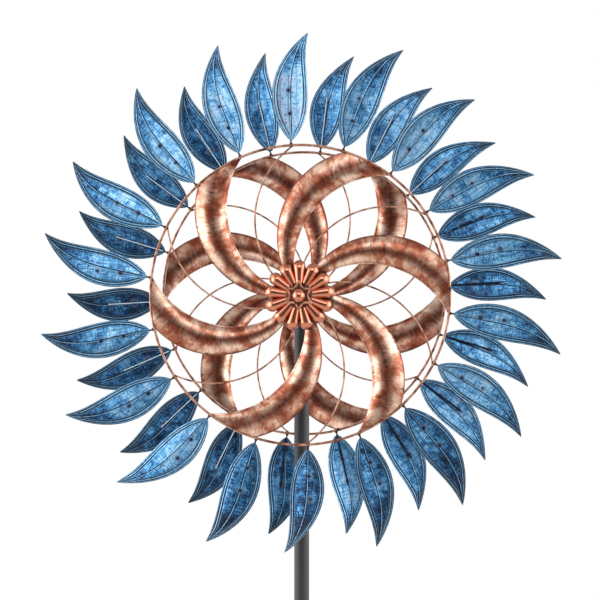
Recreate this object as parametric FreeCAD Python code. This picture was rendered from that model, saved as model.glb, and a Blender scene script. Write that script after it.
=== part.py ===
import FreeCAD, Part
import math
import os

from FreeCAD import Vector

# Kinetic wind sculpture on a garden pole: two leafed wheels, one behind the other, that turn
# in opposite senses on one fixed axle. Millimetres. The origin is on the pole's axis at ground
# level, +Z is up, and the wheels face -Y.

# ---- Overall sizes
AXLE_HEIGHT = 1370.0          # ground to the wheels' axis
WHEEL_SPACING = 110.0         # front ring's plane to back ring's plane
PRONG_DEPTH = 230.0           # how far the prongs go into the ground

# ---- Ring and wires of a wheel
RING_RADIUS = 174.0           # axis to the centre of the ring's wire
RING_WIRE = 3.0               # diameter
CURVED_WIRE = 2.0             # diameter
WIRE_END_GAP = CURVED_WIRE / 4.0   # middle of a curved wire's square end to the ring's surface
STEM_WIRE = 2.0               # diameter
STEM_LENGTH = 68.0            # from the ring outwards

# ---- Leaves
LEAF_COUNT = 18
LEAVES_PER_NODE = 3
LEAF_LENGTH = 125.0           # along the stem's line
LEAF_WIDTH = 40.5             # at its widest
LEAF_HOOK = 25.0              # sideways throw of the tip
LEAF_LEAN = 2.0               # sideways lean of the root
LEAF_SHEET = 0.8
LEAF_CUP = 0.005              # cross curvature: depth in mm for each mm squared off the stem's line
LEAF_PITCH = 15.0             # degrees that a leaf is turned about its stem
LEAF_GAP = 4.0                # ring to leaf root

# ---- Blades: troughs between two arcs, from the hub plate to the ring
BLADE_COUNT = 6
BLADE_SHEET = 0.9
BLADE_DEPTH = 8.5             # how far the trough bulges out of the wheel's plane
BLADE_LAP = 6.0               # how far a blade's root lies on the hub plate
BLADE_SWEEP = 52.0            # degrees from ring end to root
BLADE_ROOT_SPAN = 19.0        # degrees across the root
BLADE_INNER_BOW = 0.226       # rise of the inner edge's arc, as a share of its chord
BLADE_OUTER_BOW = 0.241       # rise of the outer edge's arc, as a share of its chord
WIRE_BOW = 0.217              # rise of a curved wire's arc, as a share of its chord

# ---- Hub
PLATE_RADIUS = 32.0
PLATE_THICKNESS = 2.0
BLADE_ROOT_RADIUS = PLATE_RADIUS - BLADE_LAP
SLEEVE_RADIUS = 14.0
SLEEVE_FRONT = 7.0            # sleeve's reach out of the ring's plane, away from the pole
SLEEVE_REAR = 19.0            # sleeve's reach from the ring's plane towards the pole
SLEEVE_WAIST = 9.5            # bore radius between the two bearing seats

# ---- Ball bearings, 8 x 22 x 7
AXLE_RADIUS = 4.0
BEARING_RADIUS = 11.0
BEARING_WIDTH = 7.0
BEARING_PITCH = (AXLE_RADIUS + BEARING_RADIUS) / 2.0   # radius of the balls' circle
BALL_RADIUS = 1.98
BALLS_PER_BEARING = 7
RACE_STEP = 1.4               # balls' circle to the face of each ring
INNER_RING_RADIUS = BEARING_PITCH - RACE_STEP
OUTER_RING_BORE = BEARING_PITCH + RACE_STEP
RUNNING_CLEARANCE = 0.08      # balls to inner ring
SLIP_CLEARANCE = 0.05         # tubes, rings and rods that slide over each other

# ---- Axle, spacers and nuts
SPACER_WALL = 2.0
BEARING_SPACER_WALL = 1.6
WASHER_RIM = 3.0              # washer's edge beyond the axle
WASHER_THICKNESS = 1.6
NUT_FLATS = 13.0
NUT_HEIGHT = 6.5
NUT_CHAMFER = 0.8
AXLE_OVERHANG = 2.0           # axle beyond the front nut
DOME_HEIGHT = 6.0             # dome on the rear nut

# ---- Flower cap, star and ball
PETAL_COUNT = 13
FLOWER_RADIUS = 41.0
FLOWER_BACK = 4.2             # flower's rear plane, in front of the ring's plane
PETAL_HALF_WIDTH = 7.4
PETAL_INNER_RADIUS = 8.0
PETAL_ROOT = 3.6              # petal's half width at its inner end
PETAL_TILT = 9.0              # degrees, the petals' inner ends stand further out
BOSS_WALL = 1.5
BOSS_SIDE_WALL = 3.0
NUT_ROOM = 1.0                # space left round and beyond the nut and axle
STAR_RADIUS = 18.0
STAR_THICKNESS = 1.5
CENTRE_BALL_RADIUS = 7.5
CENTRE_BALL_SINK = 1.5        # height of the ball's centre above the star

# ---- Pole and stake
POLE_RADIUS = 9.0
POLE_WALL = 1.2
POLE_JOINT_LOW = 470.0
POLE_JOINT_HIGH = 930.0
POLE_ABOVE_AXLE = 18.0
COUPLER_LENGTH = 80.0
COUPLER_WALL = 1.2
SCREW_RADIUS = 2.5
SCREW_HEAD_RADIUS = 4.2
SCREW_HEAD_HEIGHT = 2.6
SCREW_FROM_JOINT = 20.0
CROSS_TUBE_RADIUS = AXLE_RADIUS + 3.0
CROSS_TUBE_REACH = POLE_RADIUS + 5.0   # pole's axis to the tube's end
CAP_THICKNESS = 3.0
CAP_PLUG = 8.0
SPIKE_RADIUS = 6.0
SPIKE_POINT = 30.0
SPIKE_DEPTH = 215.0
SPIKE_PLUG = 40.0
PRONG_COUNT = 4
PRONG_RADIUS = 4.0
PRONG_SPREAD = 60.0           # pole's axis to a prong's leg
PRONG_BEND = 14.0
PRONG_HEIGHT = 15.0           # height of a prong's arm above the ground
PRONG_POINT = 20.0

# ---- Turns of the two wheels at rest, in degrees seen from each wheel's own outer face
FRONT_PHASE = 53.2
BACK_PHASE = 56.7

OUT = Vector(0, -1, 0)        # a wheel's outward direction, before it is placed
UP = Vector(0, 0, 1)
SECTOR = 360.0 / BLADE_COUNT
STEM_PITCH = 360.0 / LEAF_COUNT
NODES = {}


def add(name, shape):
    """Keep one finished node: a solid, or a list of separate solids."""
    if isinstance(shape, list):
        shape = Part.makeCompound(shape)
    NODES[name] = shape


def polar(radius, degrees, depth=0.0):
    """Point in a wheel's own frame: angle from +X towards +Z, depth towards the pole (+Y)."""
    angle = math.radians(degrees)
    return Vector(radius * math.cos(angle), depth, radius * math.sin(angle))


def tube(outer, inner, start, length, direction=UP):
    """Hollow cylinder."""
    body = Part.makeCylinder(outer, length, start, direction)
    bore = Part.makeCylinder(inner, length, start, direction)
    return body.cut(bore)


def arc_points(start, end, bow, count):
    """Evenly spaced points of the arc from start to end in the wheel's plane.

    The arc rises to the left of its chord, seen from the wheel's outer face, by bow times
    the chord's length.
    """
    chord = end - start
    length = chord.Length
    rise = bow * length
    radius = (length * length / 4.0 + rise * rise) / (2.0 * rise)
    along = chord * (1.0 / length)
    side = Vector(-along.z, 0, along.x)
    centre = (start + end) * 0.5 - side * (radius - rise)
    half = math.asin(length / 2.0 / radius)
    points = []
    for i in range(count):
        turn = -half + 2.0 * half * i / (count - 1)
        points.append(centre + along * (radius * math.sin(turn)) + side * (radius * math.cos(turn)))
    return points


def strip(left, middle, right, thickness_way):
    """Closed outline of a thin bent strip: an arc through three points, thickened one way."""
    half = thickness_way * 0.5
    top = Part.Arc(left + half, middle + half, right + half).toShape()
    bottom = Part.Arc(right - half, middle - half, left - half).toShape()
    end_right = Part.LineSegment(right + half, right - half).toShape()
    end_left = Part.LineSegment(left - half, left + half).toShape()
    return Part.Wire([top, end_right, bottom, end_left])


def make_blade(tip_angle):
    """One trough blade. Both edges are arcs, and the sheet bulges outwards between them."""
    ring_edge = RING_RADIUS - RING_WIRE / 2.0
    root_angle = tip_angle + BLADE_SWEEP
    inner_root = polar(BLADE_ROOT_RADIUS, root_angle)
    outer_root = polar(BLADE_ROOT_RADIUS, root_angle + BLADE_ROOT_SPAN)
    count = 13
    inner = arc_points(inner_root, polar(ring_edge, tip_angle), BLADE_INNER_BOW, count)
    outer = arc_points(outer_root, polar(ring_edge, tip_angle + STEM_PITCH), BLADE_OUTER_BOW, count)
    sections = []
    for i in range(count):
        along = i / (count - 1.0)
        bulge = max(0.02, BLADE_DEPTH * math.sin(0.9 * math.pi * along))
        crown = (inner[i] + outer[i]) * 0.5 + OUT * bulge
        sections.append(strip(inner[i], crown, outer[i], OUT * BLADE_SHEET))
    return Part.makeLoft(sections, True, False)


def make_curved_wire(ring_angle):
    """Round wire on one arc, from the hub plate's rim to the inside of the ring."""
    start = polar(PLATE_RADIUS, ring_angle + BLADE_SWEEP)
    end = polar(RING_RADIUS - RING_WIRE / 2.0 - WIRE_END_GAP, ring_angle)
    points = arc_points(start, end, WIRE_BOW, 3)
    edge = Part.Arc(points[0], points[1], points[2]).toShape()
    tangent = edge.tangentAt(edge.FirstParameter)
    profile = Part.Wire(Part.makeCircle(CURVED_WIRE / 2.0, points[0], tangent))
    return Part.Wire(edge).makePipeShell([profile], True, False)


def make_stem(angle):
    """Straight round wire that stands on the ring."""
    start = RING_RADIUS + RING_WIRE / 2.0
    return Part.makeCylinder(STEM_WIRE / 2.0, STEM_LENGTH, polar(start, angle), polar(1.0, angle))


def make_leaf(angle, hand):
    """One leaf, lofted through cross strips that stand square to its stem.

    With t the share of the length, its width is the full width times sin(pi t^0.7), and its
    middle runs off sideways by the lean, early, and by the hook times t^4. The sheet is cupped
    about the stem's line, on which it lies, and is pitched about that line. A hand of -1 makes
    the leaf of the other wheel, which hooks and pitches the other way.
    """
    radial = polar(1.0, angle)
    pitch = math.radians(hand * LEAF_PITCH)
    turned = polar(1.0, angle + 90.0)
    across = turned * math.cos(pitch) + OUT * math.sin(pitch)
    normal = OUT * math.cos(pitch) - turned * math.sin(pitch)
    lift = (STEM_WIRE + LEAF_SHEET) / 2.0
    root = radial * (RING_RADIUS + RING_WIRE / 2.0 + LEAF_GAP) + normal * lift
    count = 13
    first, last = 0.004, 0.995
    sections = []
    for i in range(count):
        share = 0.5 - 0.5 * math.cos(math.pi * i / (count - 1.0))
        t = first + (last - first) * share
        half = 0.5 * LEAF_WIDTH * math.sin(math.pi * t ** 0.7)
        lean = -LEAF_LEAN * (1.0 - (1.0 - t) ** 6) - LEAF_HOOK * t ** 4
        middle = hand * lean
        line = []
        for off in (middle - half, middle, middle + half):
            line.append(root + radial * (t * LEAF_LENGTH) + across * off - normal * (LEAF_CUP * off * off))
        sections.append(strip(line[0], line[1], line[2], normal * LEAF_SHEET))
    return Part.makeLoft(sections, True, False)


def bearing_places():
    """Where the two bearings of a wheel start, along +Y in the wheel's own frame."""
    return (-SLEEVE_FRONT, SLEEVE_REAR - BEARING_WIDTH)


def race(radius, start):
    """Torus that cuts the groove in which the balls run."""
    centre = Vector(0, start + BEARING_WIDTH / 2.0, 0)
    return Part.makeTorus(BEARING_PITCH, radius, centre, Vector(0, 1, 0))


def make_inner_rings():
    rings = []
    for start in bearing_places():
        base = Vector(0, start, 0)
        ring = tube(INNER_RING_RADIUS, AXLE_RADIUS + SLIP_CLEARANCE, base, BEARING_WIDTH, Vector(0, 1, 0))
        rings.append(ring.cut(race(BALL_RADIUS + RUNNING_CLEARANCE, start)))
    return rings


def make_outer_rings():
    rings = []
    for start in bearing_places():
        base = Vector(0, start, 0)
        ring = tube(BEARING_RADIUS, OUTER_RING_BORE, base, BEARING_WIDTH, Vector(0, 1, 0))
        rings.append(ring.cut(race(BALL_RADIUS + SLIP_CLEARANCE, start)))
    return rings


def make_balls():
    balls = []
    for start in bearing_places():
        for i in range(BALLS_PER_BEARING):
            place = polar(BEARING_PITCH, i * 360.0 / BALLS_PER_BEARING, start + BEARING_WIDTH / 2.0)
            balls.append(Part.makeSphere(BALL_RADIUS, place))
    return balls


def make_sleeve():
    """Hub sleeve with a bearing seat at each end."""
    length = SLEEVE_FRONT + SLEEVE_REAR
    sleeve = tube(SLEEVE_RADIUS, SLEEVE_WAIST, Vector(0, -SLEEVE_FRONT, 0), length, Vector(0, 1, 0))
    for start in bearing_places():
        seat = Part.makeCylinder(BEARING_RADIUS, BEARING_WIDTH, Vector(0, start, 0), Vector(0, 1, 0))
        sleeve = sleeve.cut(seat)
    return sleeve


def make_plate():
    """Hub plate, just behind the blades' flat roots."""
    start = Vector(0, BLADE_SHEET / 2.0, 0)
    return tube(PLATE_RADIUS, SLEEVE_RADIUS, start, PLATE_THICKNESS, Vector(0, 1, 0))


def make_nut(start, direction, height):
    """Hexagon nut with its outer corners chamfered."""
    corner = NUT_FLATS / math.sqrt(3.0)
    points = []
    for i in range(7):
        points.append(polar(corner, 60.0 * i))
    prism = Part.Face(Part.makePolygon(points)).extrude(direction * height)
    prism.translate(start)
    straight = height - NUT_CHAMFER
    round_part = Part.makeCylinder(corner, straight, start, direction)
    taper = Part.makeCone(corner, corner - NUT_CHAMFER, NUT_CHAMFER, start + direction * straight, direction)
    return prism.common(round_part.fuse(taper))


def nut_start():
    """Distance of a nut's inner face from the ring's plane, outwards."""
    return SLEEVE_FRONT + WASHER_THICKNESS


def make_petal():
    """Drop-shaped petal along +X: a cone that widens into a ball, turned from its half outline."""
    lobe = PETAL_HALF_WIDTH
    lobe_centre = FLOWER_RADIUS - lobe
    slope = math.asin((lobe - PETAL_ROOT) / (lobe_centre - PETAL_INNER_RADIUS))
    inner = Vector(PETAL_INNER_RADIUS, 0, 0)
    shoulder = Vector(PETAL_INNER_RADIUS, 0, PETAL_ROOT)
    meet = Vector(lobe_centre - lobe * math.sin(slope), 0, lobe * math.cos(slope))
    crown = Vector(lobe_centre + lobe * math.sin(math.pi / 4.0), 0, lobe * math.cos(math.pi / 4.0))
    tip = Vector(FLOWER_RADIUS, 0, 0)
    edges = [
        Part.LineSegment(inner, shoulder).toShape(),
        Part.LineSegment(shoulder, meet).toShape(),
        Part.Arc(meet, crown, tip).toShape(),
        Part.LineSegment(tip, inner).toShape(),
    ]
    petal = Part.Face(Part.Wire(edges)).revolve(Vector(0, 0, 0), Vector(1, 0, 0), 360)
    petal.rotate(tip, Vector(0, 0, 1), PETAL_TILT)
    return petal


def flower_front():
    """Distance of the boss's outer face from the ring's plane."""
    return nut_start() + NUT_HEIGHT + AXLE_OVERHANG + NUT_ROOM + BOSS_WALL


def make_flower():
    """Flower cap: petals round a hollow boss, which fits over the sleeve's end."""
    front = flower_front()
    room_radius = NUT_FLATS / math.sqrt(3.0) + NUT_ROOM
    boss_radius = room_radius + BOSS_SIDE_WALL
    boss = Part.makeCylinder(boss_radius, front - SLEEVE_FRONT, OUT * SLEEVE_FRONT, OUT)
    collar_radius = SLEEVE_RADIUS + BOSS_WALL
    collar = Part.makeCylinder(collar_radius, SLEEVE_FRONT + BOSS_WALL - FLOWER_BACK, OUT * FLOWER_BACK, OUT)
    body = boss.fuse(collar)
    petal = make_petal()
    petals = []
    for i in range(PETAL_COUNT):
        copy = petal.copy()
        copy.translate(OUT * FLOWER_BACK)
        copy.rotate(Vector(0, 0, 0), OUT, i * 360.0 / PETAL_COUNT + 90.0)
        petals.append(copy)
    body = body.multiFuse(petals)
    behind = Part.makeCylinder(2.0 * FLOWER_RADIUS, 2.0 * FLOWER_RADIUS, OUT * FLOWER_BACK, -OUT)
    socket = Part.makeCylinder(SLEEVE_RADIUS, SLEEVE_FRONT - FLOWER_BACK, OUT * FLOWER_BACK, OUT)
    room = Part.makeCylinder(room_radius, front - BOSS_WALL - FLOWER_BACK, OUT * FLOWER_BACK, OUT)
    return body.cut(behind).cut(socket).cut(room)


def make_star():
    """Six-pointed star, cut from sheet, with a point straight up."""
    inner = STAR_RADIUS / math.sqrt(3.0)
    points = []
    for i in range(13):
        radius = STAR_RADIUS if i % 2 == 0 else inner
        points.append(polar(radius, 90.0 + 30.0 * i))
    star = Part.Face(Part.makePolygon(points)).extrude(OUT * STAR_THICKNESS)
    star.translate(OUT * flower_front())
    return star


def make_centre_ball():
    """Ball on the star, with a flat where it sits."""
    seat = flower_front() + STAR_THICKNESS
    ball = Part.makeSphere(CENTRE_BALL_RADIUS, OUT * (seat + CENTRE_BALL_SINK))
    cut = Part.makeCylinder(2.0 * CENTRE_BALL_RADIUS, 2.0 * CENTRE_BALL_RADIUS, OUT * seat, -OUT)
    return ball.cut(cut)


def place_front(shape):
    shape = shape.copy()
    shape.translate(Vector(0, -WHEEL_SPACING / 2.0, AXLE_HEIGHT))
    return shape


def place_back(shape):
    shape = shape.copy()
    shape.rotate(Vector(0, 0, 0), UP, 180)
    shape.translate(Vector(0, WHEEL_SPACING / 2.0, AXLE_HEIGHT))
    return shape


def build_wheel(name, phase, hand, place):
    """All nodes of one wheel. Phase is the angle of its first blade's ring end, and hand is
    the way its leaves hook and pitch, opposite on the two wheels, so that the wind turns them
    opposite ways."""
    add(name + "_ring", place(Part.makeTorus(RING_RADIUS, RING_WIRE / 2.0, Vector(0, 0, 0), OUT)))
    wires = []
    for i in range(BLADE_COUNT):
        add("%s_blade_%d" % (name, i + 1), place(make_blade(phase + SECTOR * i)))
        wires.append(place(make_curved_wire(phase + 2.0 * STEM_PITCH + SECTOR * i)))
    add(name + "_curved_wires", wires)
    stems = []
    leaves = []
    for i in range(LEAF_COUNT):
        angle = phase + STEM_PITCH * i
        stems.append(place(make_stem(angle)))
        leaves.append(place(make_leaf(angle, hand)))
    add(name + "_leaf_stems", stems)
    for i in range(LEAF_COUNT // LEAVES_PER_NODE):
        first = i * LEAVES_PER_NODE
        add("%s_leaves_%d" % (name, i + 1), leaves[first:first + LEAVES_PER_NODE])
    add(name + "_hub_sleeve", place(make_sleeve()))
    add(name + "_hub_plate", place(make_plate()))
    add(name + "_bearing_outer_rings", [place(r) for r in make_outer_rings()])
    add(name + "_bearing_balls", [place(b) for b in make_balls()])


def build_flower():
    add("flower_petals", place_front(make_flower()))
    add("flower_star", place_front(make_star()))
    add("flower_ball", place_front(make_centre_ball()))


def build_axle():
    """The axle and what stands still on it."""
    along = Vector(0, 1, 0)
    bore = AXLE_RADIUS + SLIP_CLEARANCE
    axis = Vector(0, 0, AXLE_HEIGHT)
    half = WHEEL_SPACING / 2.0
    nut = half + nut_start()
    front_end = nut + NUT_HEIGHT + AXLE_OVERHANG
    rod = Part.makeCylinder(AXLE_RADIUS, front_end + nut + NUT_HEIGHT, axis - along * front_end, along)
    add("axle_rod", rod)
    add("axle_cross_tube", tube(CROSS_TUBE_RADIUS, bore, axis - along * CROSS_TUBE_REACH,
                                2.0 * CROSS_TUBE_REACH, along))
    rings, spacers, inner_spacers, washers = [], [], [], []
    for place in (place_front, place_back):
        rings += [place(r) for r in make_inner_rings()]
        gap = half - SLEEVE_REAR - CROSS_TUBE_REACH
        spacers.append(place(tube(AXLE_RADIUS + SPACER_WALL, bore, along * SLEEVE_REAR, gap, along)))
        between = SLEEVE_FRONT + SLEEVE_REAR - 2.0 * BEARING_WIDTH
        start = along * (BEARING_WIDTH - SLEEVE_FRONT)
        inner_spacers.append(place(tube(AXLE_RADIUS + BEARING_SPACER_WALL, bore, start, between, along)))
        face = -along * (SLEEVE_FRONT + WASHER_THICKNESS)
        washers.append(place(tube(AXLE_RADIUS + WASHER_RIM, bore, face, WASHER_THICKNESS, along)))
    add("bearing_inner_rings", rings)
    add("axle_spacers", spacers)
    add("bearing_spacers", inner_spacers)
    add("axle_washers", washers)
    hole = Part.makeCylinder(bore, NUT_HEIGHT, OUT * nut_start(), OUT)
    add("front_lock_nut", place_front(make_nut(OUT * nut_start(), OUT, NUT_HEIGHT).cut(hole)))
    top = OUT * (nut_start() + NUT_HEIGHT)
    dome_radius = NUT_FLATS / 2.0 - NUT_CHAMFER
    dome = Part.makeSphere(dome_radius, top)
    dome = dome.common(Part.makeCylinder(dome_radius, DOME_HEIGHT, top, OUT))
    dome_nut = make_nut(OUT * nut_start(), OUT, NUT_HEIGHT).cut(hole).fuse(dome)
    add("rear_dome_nut", place_back(dome_nut))


def make_screw(height):
    """Pan-head screw that holds pole and coupler together from the back."""
    depth = POLE_WALL + COUPLER_WALL + SLIP_CLEARANCE
    back = Vector(0, 1, 0)
    shank = Part.makeCylinder(SCREW_RADIUS, depth, Vector(0, POLE_RADIUS - depth, height), back)
    head = Part.makeCylinder(SCREW_HEAD_RADIUS, SCREW_HEAD_HEIGHT, Vector(0, POLE_RADIUS, height), back)
    edge = [e for e in head.Edges if abs(e.CenterOfMass.y - POLE_RADIUS - SCREW_HEAD_HEIGHT) < 0.01]
    return head.makeFillet(SCREW_HEAD_HEIGHT / 2.0, edge).fuse(shank)


def screw_heights():
    heights = []
    for joint in (POLE_JOINT_LOW, POLE_JOINT_HIGH):
        heights += [joint - SCREW_FROM_JOINT, joint + SCREW_FROM_JOINT]
    return heights


def make_screw_hole(height):
    radius = SCREW_RADIUS + SLIP_CLEARANCE
    return Part.makeCylinder(radius, 2.0 * POLE_RADIUS, Vector(0, 0, height), Vector(0, 1, 0))


def drilled(shape):
    """The shape with every screw hole that meets it."""
    for height in screw_heights():
        box = shape.BoundBox
        if box.ZMin < height < box.ZMax:
            shape = shape.cut(make_screw_hole(height))
    return shape


def build_pole():
    bore = POLE_RADIUS - POLE_WALL
    top = AXLE_HEIGHT + POLE_ABOVE_AXLE
    add("lower_pole", drilled(tube(POLE_RADIUS, bore, Vector(0, 0, 0), POLE_JOINT_LOW)))
    middle = tube(POLE_RADIUS, bore, Vector(0, 0, POLE_JOINT_LOW), POLE_JOINT_HIGH - POLE_JOINT_LOW)
    add("middle_pole", drilled(middle))
    upper = tube(POLE_RADIUS, bore, Vector(0, 0, POLE_JOINT_HIGH), top - POLE_JOINT_HIGH)
    cross_start = Vector(0, -2.0 * POLE_RADIUS, AXLE_HEIGHT)
    cross_hole = Part.makeCylinder(CROSS_TUBE_RADIUS, 4.0 * POLE_RADIUS, cross_start, Vector(0, 1, 0))
    add("upper_pole", drilled(upper).cut(cross_hole))
    for name, joint in (("lower_coupler", POLE_JOINT_LOW), ("upper_coupler", POLE_JOINT_HIGH)):
        outer = bore - SLIP_CLEARANCE
        start = Vector(0, 0, joint - COUPLER_LENGTH / 2.0)
        add(name, drilled(tube(outer, outer - COUPLER_WALL, start, COUPLER_LENGTH)))
    add("coupler_screws", [make_screw(height) for height in screw_heights()])
    plug = Part.makeCylinder(bore - SLIP_CLEARANCE, CAP_PLUG, Vector(0, 0, top - CAP_PLUG))
    lid = Part.makeCylinder(POLE_RADIUS, CAP_THICKNESS, Vector(0, 0, top))
    rim = [e for e in lid.Edges if abs(e.CenterOfMass.z - top - CAP_THICKNESS) < 0.01]
    add("pole_cap", lid.makeFillet(CAP_THICKNESS * 0.6, rim).fuse(plug))


def make_prong(turn):
    """Bent rod: an arm welded to the pole, a quarter bend, and a pointed leg."""
    arm_start = Vector(POLE_RADIUS, 0, PRONG_HEIGHT)
    arm_length = PRONG_SPREAD - PRONG_BEND - POLE_RADIUS
    arm = Part.makeCylinder(PRONG_RADIUS, arm_length, arm_start, Vector(1, 0, 0))
    leg_top = PRONG_HEIGHT - PRONG_BEND
    centre = Vector(PRONG_SPREAD - PRONG_BEND, 0, leg_top)
    profile = Part.Face(Part.Wire(Part.makeCircle(PRONG_RADIUS, Vector(PRONG_SPREAD, 0, leg_top), UP)))
    bend = profile.revolve(centre, Vector(0, -1, 0), 90)
    leg_length = leg_top + PRONG_DEPTH - PRONG_POINT
    leg = Part.makeCylinder(PRONG_RADIUS, leg_length, Vector(PRONG_SPREAD, 0, leg_top), -UP)
    point_top = Vector(PRONG_SPREAD, 0, PRONG_POINT - PRONG_DEPTH)
    point = Part.makeCone(PRONG_RADIUS, 0, PRONG_POINT, point_top, -UP)
    saddle = Part.makeCylinder(POLE_RADIUS, 4.0 * PRONG_HEIGHT)
    prong = arm.fuse([bend, leg, point]).removeSplitter().cut(saddle)
    prong.rotate(Vector(0, 0, 0), UP, turn)
    return prong


def build_stake():
    plug_radius = POLE_RADIUS - POLE_WALL - SLIP_CLEARANCE
    shaft_length = SPIKE_DEPTH - SPIKE_POINT
    shaft = Part.makeCylinder(SPIKE_RADIUS, shaft_length, Vector(0, 0, 0), -UP)
    point = Part.makeCone(SPIKE_RADIUS, 0, SPIKE_POINT, Vector(0, 0, -shaft_length), -UP)
    plug = Part.makeCylinder(plug_radius, SPIKE_PLUG)
    add("centre_spike", shaft.fuse([point, plug]).removeSplitter())
    prongs = []
    for i in range(PRONG_COUNT):
        prongs.append(make_prong(45.0 + i * 360.0 / PRONG_COUNT))
    add("ground_prongs", prongs)


def main():
    build_stake()
    build_pole()
    build_axle()
    build_wheel("front", FRONT_PHASE, 1.0, place_front)
    build_wheel("back", BACK_PHASE, -1.0, place_back)
    build_flower()
    os.makedirs("parts", exist_ok=True)
    for name, shape in NODES.items():
        shape.exportStep("parts/%s.step" % name)
        print(name, len(shape.Solids), shape.isValid(), round(shape.Volume, 1))


main()
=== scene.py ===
import math

import bpy
import numpy as np
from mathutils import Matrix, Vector


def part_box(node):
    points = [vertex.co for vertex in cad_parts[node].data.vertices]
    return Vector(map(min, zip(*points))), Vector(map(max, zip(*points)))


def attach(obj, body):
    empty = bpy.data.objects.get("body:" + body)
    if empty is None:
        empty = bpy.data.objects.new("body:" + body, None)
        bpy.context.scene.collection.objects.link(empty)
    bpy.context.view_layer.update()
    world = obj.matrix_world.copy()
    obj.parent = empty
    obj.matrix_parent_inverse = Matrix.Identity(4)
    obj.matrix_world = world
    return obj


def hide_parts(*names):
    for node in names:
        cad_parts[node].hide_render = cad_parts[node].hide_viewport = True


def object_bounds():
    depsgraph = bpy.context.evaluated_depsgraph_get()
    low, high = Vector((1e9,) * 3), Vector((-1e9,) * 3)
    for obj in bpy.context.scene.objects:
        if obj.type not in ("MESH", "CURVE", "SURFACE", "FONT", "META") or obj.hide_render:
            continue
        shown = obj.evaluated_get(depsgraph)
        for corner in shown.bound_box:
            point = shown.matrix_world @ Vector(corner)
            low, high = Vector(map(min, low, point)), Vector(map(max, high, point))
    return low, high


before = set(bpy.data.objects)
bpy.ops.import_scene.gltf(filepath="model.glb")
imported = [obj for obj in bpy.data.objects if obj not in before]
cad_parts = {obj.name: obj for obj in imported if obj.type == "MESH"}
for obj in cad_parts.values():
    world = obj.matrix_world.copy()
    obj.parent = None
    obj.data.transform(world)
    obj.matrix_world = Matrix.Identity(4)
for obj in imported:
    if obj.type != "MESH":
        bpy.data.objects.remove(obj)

CAD_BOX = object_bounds()

# Visible pieces and finishes of a garden wind sculpture: two leafed wheels, one behind the
# other, on a staked pole. Shapes are worked out in millimetres. A wheel's own frame has its
# ring's centre at the origin, its outer face towards -Y and +Z up; the back wheel is then
# turned half a turn about the pole's line.

bl_info = {
    "name": "Wind Sculpture",
    "version": (1, 0, 0),
    "blender": (4, 5, 0),
    "location": "3D View > Sidebar > Sculpture",
    "description": "Builds the visible pieces of a garden wind sculpture around its frame",
    "category": "Add Mesh",
}

MM = 1000.0                  # millimetres in a metre
UV_SPAN = 250.0              # millimetres of surface that one unit of the UV map covers
OUT = np.array([0.0, -1.0, 0.0])
UP = np.array([0.0, 0.0, 1.0])
ORIGIN = np.zeros(3)


# ---- Places that come from the frame

def points_of(node):
    """Every vertex of a CAD node, in millimetres."""
    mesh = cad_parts[node].data
    flat = np.empty(len(mesh.vertices) * 3)
    mesh.vertices.foreach_get("co", flat)
    return flat.reshape(-1, 3) * MM


def span_of(node):
    """Lowest and highest corner of a CAD node, in millimetres, to a hundredth."""
    low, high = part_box(node)
    return np.round(np.array(low) * MM, 2), np.round(np.array(high) * MM, 2)


def radius_of(node):
    """Half of a CAD node's breadth, in millimetres, to a tenth."""
    low, high = span_of(node)
    return round((high[0] - low[0]) / 2.0, 1)


RING_LOW, RING_HIGH = span_of("front_ring")
RING_WIRE = round(RING_HIGH[1] - RING_LOW[1], 1)
RING_RADIUS = round((RING_HIGH[0] - RING_LOW[0] - RING_WIRE) / 2.0, 1)
RING_INSIDE = RING_RADIUS - RING_WIRE / 2.0
RING_OUTSIDE = RING_RADIUS + RING_WIRE / 2.0
WHEEL_TURN = {"front": 1.0, "back": -1.0}      # sign of x and y of each wheel in the world
CENTRES = {name: sum(span_of(name + "_ring")) / 2.0 for name in WHEEL_TURN}
FRONT_PLANE, AXLE_HEIGHT = float(CENTRES["front"][1]), float(CENTRES["front"][2])
BLADE_COUNT = 6
LEAF_COUNT = 18
LEAVES_PER_NODE = 3
SECTOR = 360.0 / BLADE_COUNT
STEM_PITCH = 360.0 / LEAF_COUNT


def wheel_phase(name):
    """Angle, in degrees in the wheel's own frame, of its first blade's leading ring corner."""
    points = points_of(name + "_blade_1") - CENTRES[name]
    x, z = points[:, 0] * WHEEL_TURN[name], points[:, 2]
    at_ring = np.hypot(x, z) > RING_INSIDE - 0.1
    return float(np.degrees(np.arctan2(z, x))[at_ring].min())


PHASES = {name: wheel_phase(name) for name in WHEEL_TURN}
SLEEVE_LOW, SLEEVE_HIGH = span_of("front_hub_sleeve")
SLEEVE_RADIUS = radius_of("front_hub_sleeve")
SLEEVE_FRONT = FRONT_PLANE - SLEEVE_LOW[1]
SLEEVE_REAR = SLEEVE_HIGH[1] - FRONT_PLANE
PLATE_LOW, PLATE_HIGH = span_of("front_hub_plate")
PLATE_RADIUS = radius_of("front_hub_plate")
FLOWER_LOW, FLOWER_HIGH = span_of("flower_petals")
FLOWER_BACK = FRONT_PLANE - FLOWER_HIGH[1]
STAR_HIGH = span_of("flower_star")[1]
STAR_SEAT = FRONT_PLANE - STAR_HIGH[1]


# ---- Colours and settings

def linear(code):
    """An sRGB hex colour as linear red, green, blue and alpha."""
    parts = [int(code[i:i + 2], 16) / 255.0 for i in (1, 3, 5)]
    return tuple(c / 12.92 if c <= 0.04045 else ((c + 0.055) / 1.055) ** 2.4 for c in parts) + (1.0,)


def length(name, description, default):
    """Setting for a length in metres."""
    return bpy.props.FloatProperty(
        name=name, description=description, default=default, min=0.0, unit="LENGTH")


def turning(name, description, degrees):
    """Setting for an angle."""
    return bpy.props.FloatProperty(
        name=name, description=description, default=math.radians(degrees), subtype="ANGLE")


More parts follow.
